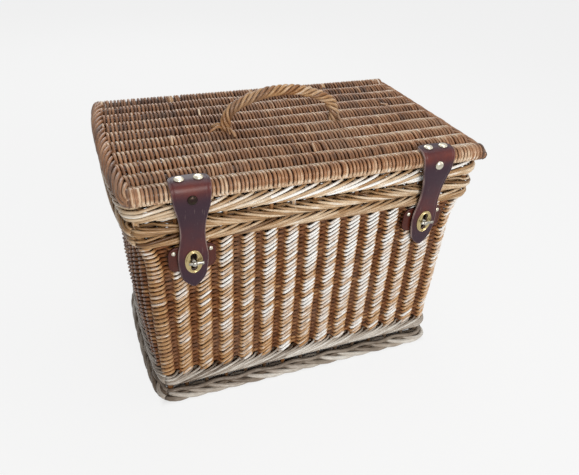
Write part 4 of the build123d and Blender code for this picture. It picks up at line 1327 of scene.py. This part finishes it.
class HAMPER_OT_set_stage(bpy.types.Operator):
    """Set the pale floor, the soft lamps and the camera"""

    bl_idname = "hamper.set_stage"
    bl_label = "Set Stage"

    def execute(self, context):
        scene = context.scene
        scene.view_settings.view_transform = "Standard"
        self.lay_floor()
        self.light_world(scene)
        soft_lamp("key_softbox", (-0.05, -1.62, 0.95), 0.75, 21.0, "FFFDF9")
        soft_lamp("top_softbox", (0.3, 0.1, 1.75), 1.1, 8.0, "FFFFFF")
        soft_lamp("right_softbox", (1.5, -0.7, 0.8), 1.0, 4.0, "FFFFFF")
        soft_lamp("back_softbox", (0.1, 1.6, 1.15), 1.0, 8.0, "FFFFFF")
        self.place_camera(scene)
        return {"FINISHED"}

    def lay_floor(self):
        """A wide pale floor that shows nearly white and still takes the hamper's shadow."""
        reach = 12.0 / MM
        corners = [(-reach, -reach, 0), (reach, -reach, 0), (reach, reach, 0), (-reach, reach, 0)]
        mesh = new_mesh("floor", corners, [(0, 1, 2, 3)])
        floor = new_object("floor", mesh)
        # Matt pale paint: no gloss, only a soft shadow
        material, tree, shader = new_material("floor_matt_paint")
        fill(shader, {"Base Color": paint("floor"), "Roughness": 0.9, "Specular IOR Level": 0.1})
        glow = add_node(tree, "Emission", {"Color": (*linear("F8F8F8"), 1.0), "Strength": 1.0})
        # Under the hamper, and a finger's breadth round it, the floor is left in its shadow
        foot = (0.2, 0.126, 0.0)
        place = add_node(tree, "TexCoord").outputs["Object"]
        apart = add_node(tree, "VectorMath", {0: place}, operation="ABSOLUTE").outputs[0]
        beyond = add_node(tree, "VectorMath", {0: apart, 1: foot}, operation="SUBTRACT").outputs[0]
        sides = add_node(tree, "SeparateXYZ", {0: beyond}).outputs
        gap = add_node(tree, "Math", {0: sides["X"], 1: sides["Y"]}, operation="MAXIMUM").outputs[0]
        limits = {"From Min": -0.02, "From Max": 0.008, "To Max": 0.9}
        clear = add_node(tree, "MapRange", {"Value": gap, **limits}).outputs[0]
        share = add_node(tree, "Math", {0: seen_in_picture(tree), 1: clear}, operation="MULTIPLY").outputs[0]
        mix = add_node(tree, "MixShader", {0: share, 1: shader.outputs[0], 2: glow.outputs[0]})
        fill(tree.nodes["Material Output"], {"Surface": mix.outputs[0]})
        mesh.materials.append(material)

    def light_world(self, scene):
        """Even grey light all round, with a near-white backdrop for the camera and for reflections."""
        world = bpy.data.worlds.new("studio")
        world.use_nodes = True
        scene.world = world
        tree = world.node_tree
        light = tree.nodes["Background"]
        fill(light, {"Color": (*linear("F2F4F6"), 1.0), "Strength": 0.25})
        backdrop = add_node(tree, "Background", {"Color": (*linear("F4F4F4"), 1.0), "Strength": 1.0})
        layers = {0: seen_in_picture(tree), 1: light.outputs[0], 2: backdrop.outputs[0]}
        mix = add_node(tree, "MixShader", layers)
        fill(tree.nodes["World Output"], {"Surface": mix.outputs[0]})

    def place_camera(self, scene):
        """The photograph's viewing angle: raised, from the left of the front, with a slight roll."""
        azimuth, elevation, roll = radians(-22.756), radians(32.589), radians(3.001)
        stand = (-0.26639, -0.68793, 0.62184)
        ahead = Vector((-sin(azimuth) * cos(elevation), cos(azimuth) * cos(elevation), -sin(elevation)))
        level = ahead.cross(Vector((0, 0, 1))).normalized()
        upright = level.cross(ahead)
        right = level * cos(roll) + upright * sin(roll)
        up = upright * cos(roll) - level * sin(roll)
        lens = bpy.data.cameras.new("camera")
        lens.sensor_fit, lens.sensor_width, lens.lens = "HORIZONTAL", 36.0, 36.39
        camera = new_object("camera", lens)
        turn = Matrix((right, up, -ahead)).transposed().to_4x4()
        camera.matrix_world = Matrix.Translation(stand) @ turn
        scene.camera = camera


OPERATORS = (
    HAMPER_OT_set_stage,
    HAMPER_OT_set_uprights,
    HAMPER_OT_weave_walls,
    HAMPER_OT_wale_bands,
    HAMPER_OT_weave_base,
    HAMPER_OT_weave_lid,
    HAMPER_OT_plait_lid_ends,
    HAMPER_OT_wind_hinge,
    HAMPER_OT_rope_handle,
    HAMPER_OT_cut_straps,
    HAMPER_OT_fit_tabs,
    HAMPER_OT_drive_tacks,
    HAMPER_OT_fit_locks,
)


class HAMPER_PT_panel(bpy.types.Panel):
    """Lists the steps that dress the hamper"""

    bl_idname = "HAMPER_PT_panel"
    bl_label = "Hamper"
    bl_space_type = "VIEW_3D"
    bl_region_type = "UI"
    bl_category = "Hamper"

    def draw(self, context):
        for operator in OPERATORS:
            self.layout.operator(operator.bl_idname)


CLASSES = (HamperRods, HamperColours, *OPERATORS, HAMPER_PT_panel)


def register():
    """Adds the hamper's classes and settings to Blender."""
    for cls in CLASSES:
        bpy.utils.register_class(cls)
    bpy.types.Scene.hamper_rods = PointerProperty(type=HamperRods)
    bpy.types.Scene.hamper_colours = PointerProperty(type=HamperColours)


def unregister():
    """Takes the hamper's classes and settings out of Blender."""
    del bpy.types.Scene.hamper_colours
    del bpy.types.Scene.hamper_rods
    for cls in reversed(CLASSES):
        bpy.utils.unregister_class(cls)


def main():
    """Dresses the hamper step by step."""
    register()
    for operator in OPERATORS:
        group, name = operator.bl_idname.split(".")
        getattr(getattr(bpy.ops, group), name)()


if __name__ == "__main__":
    main()
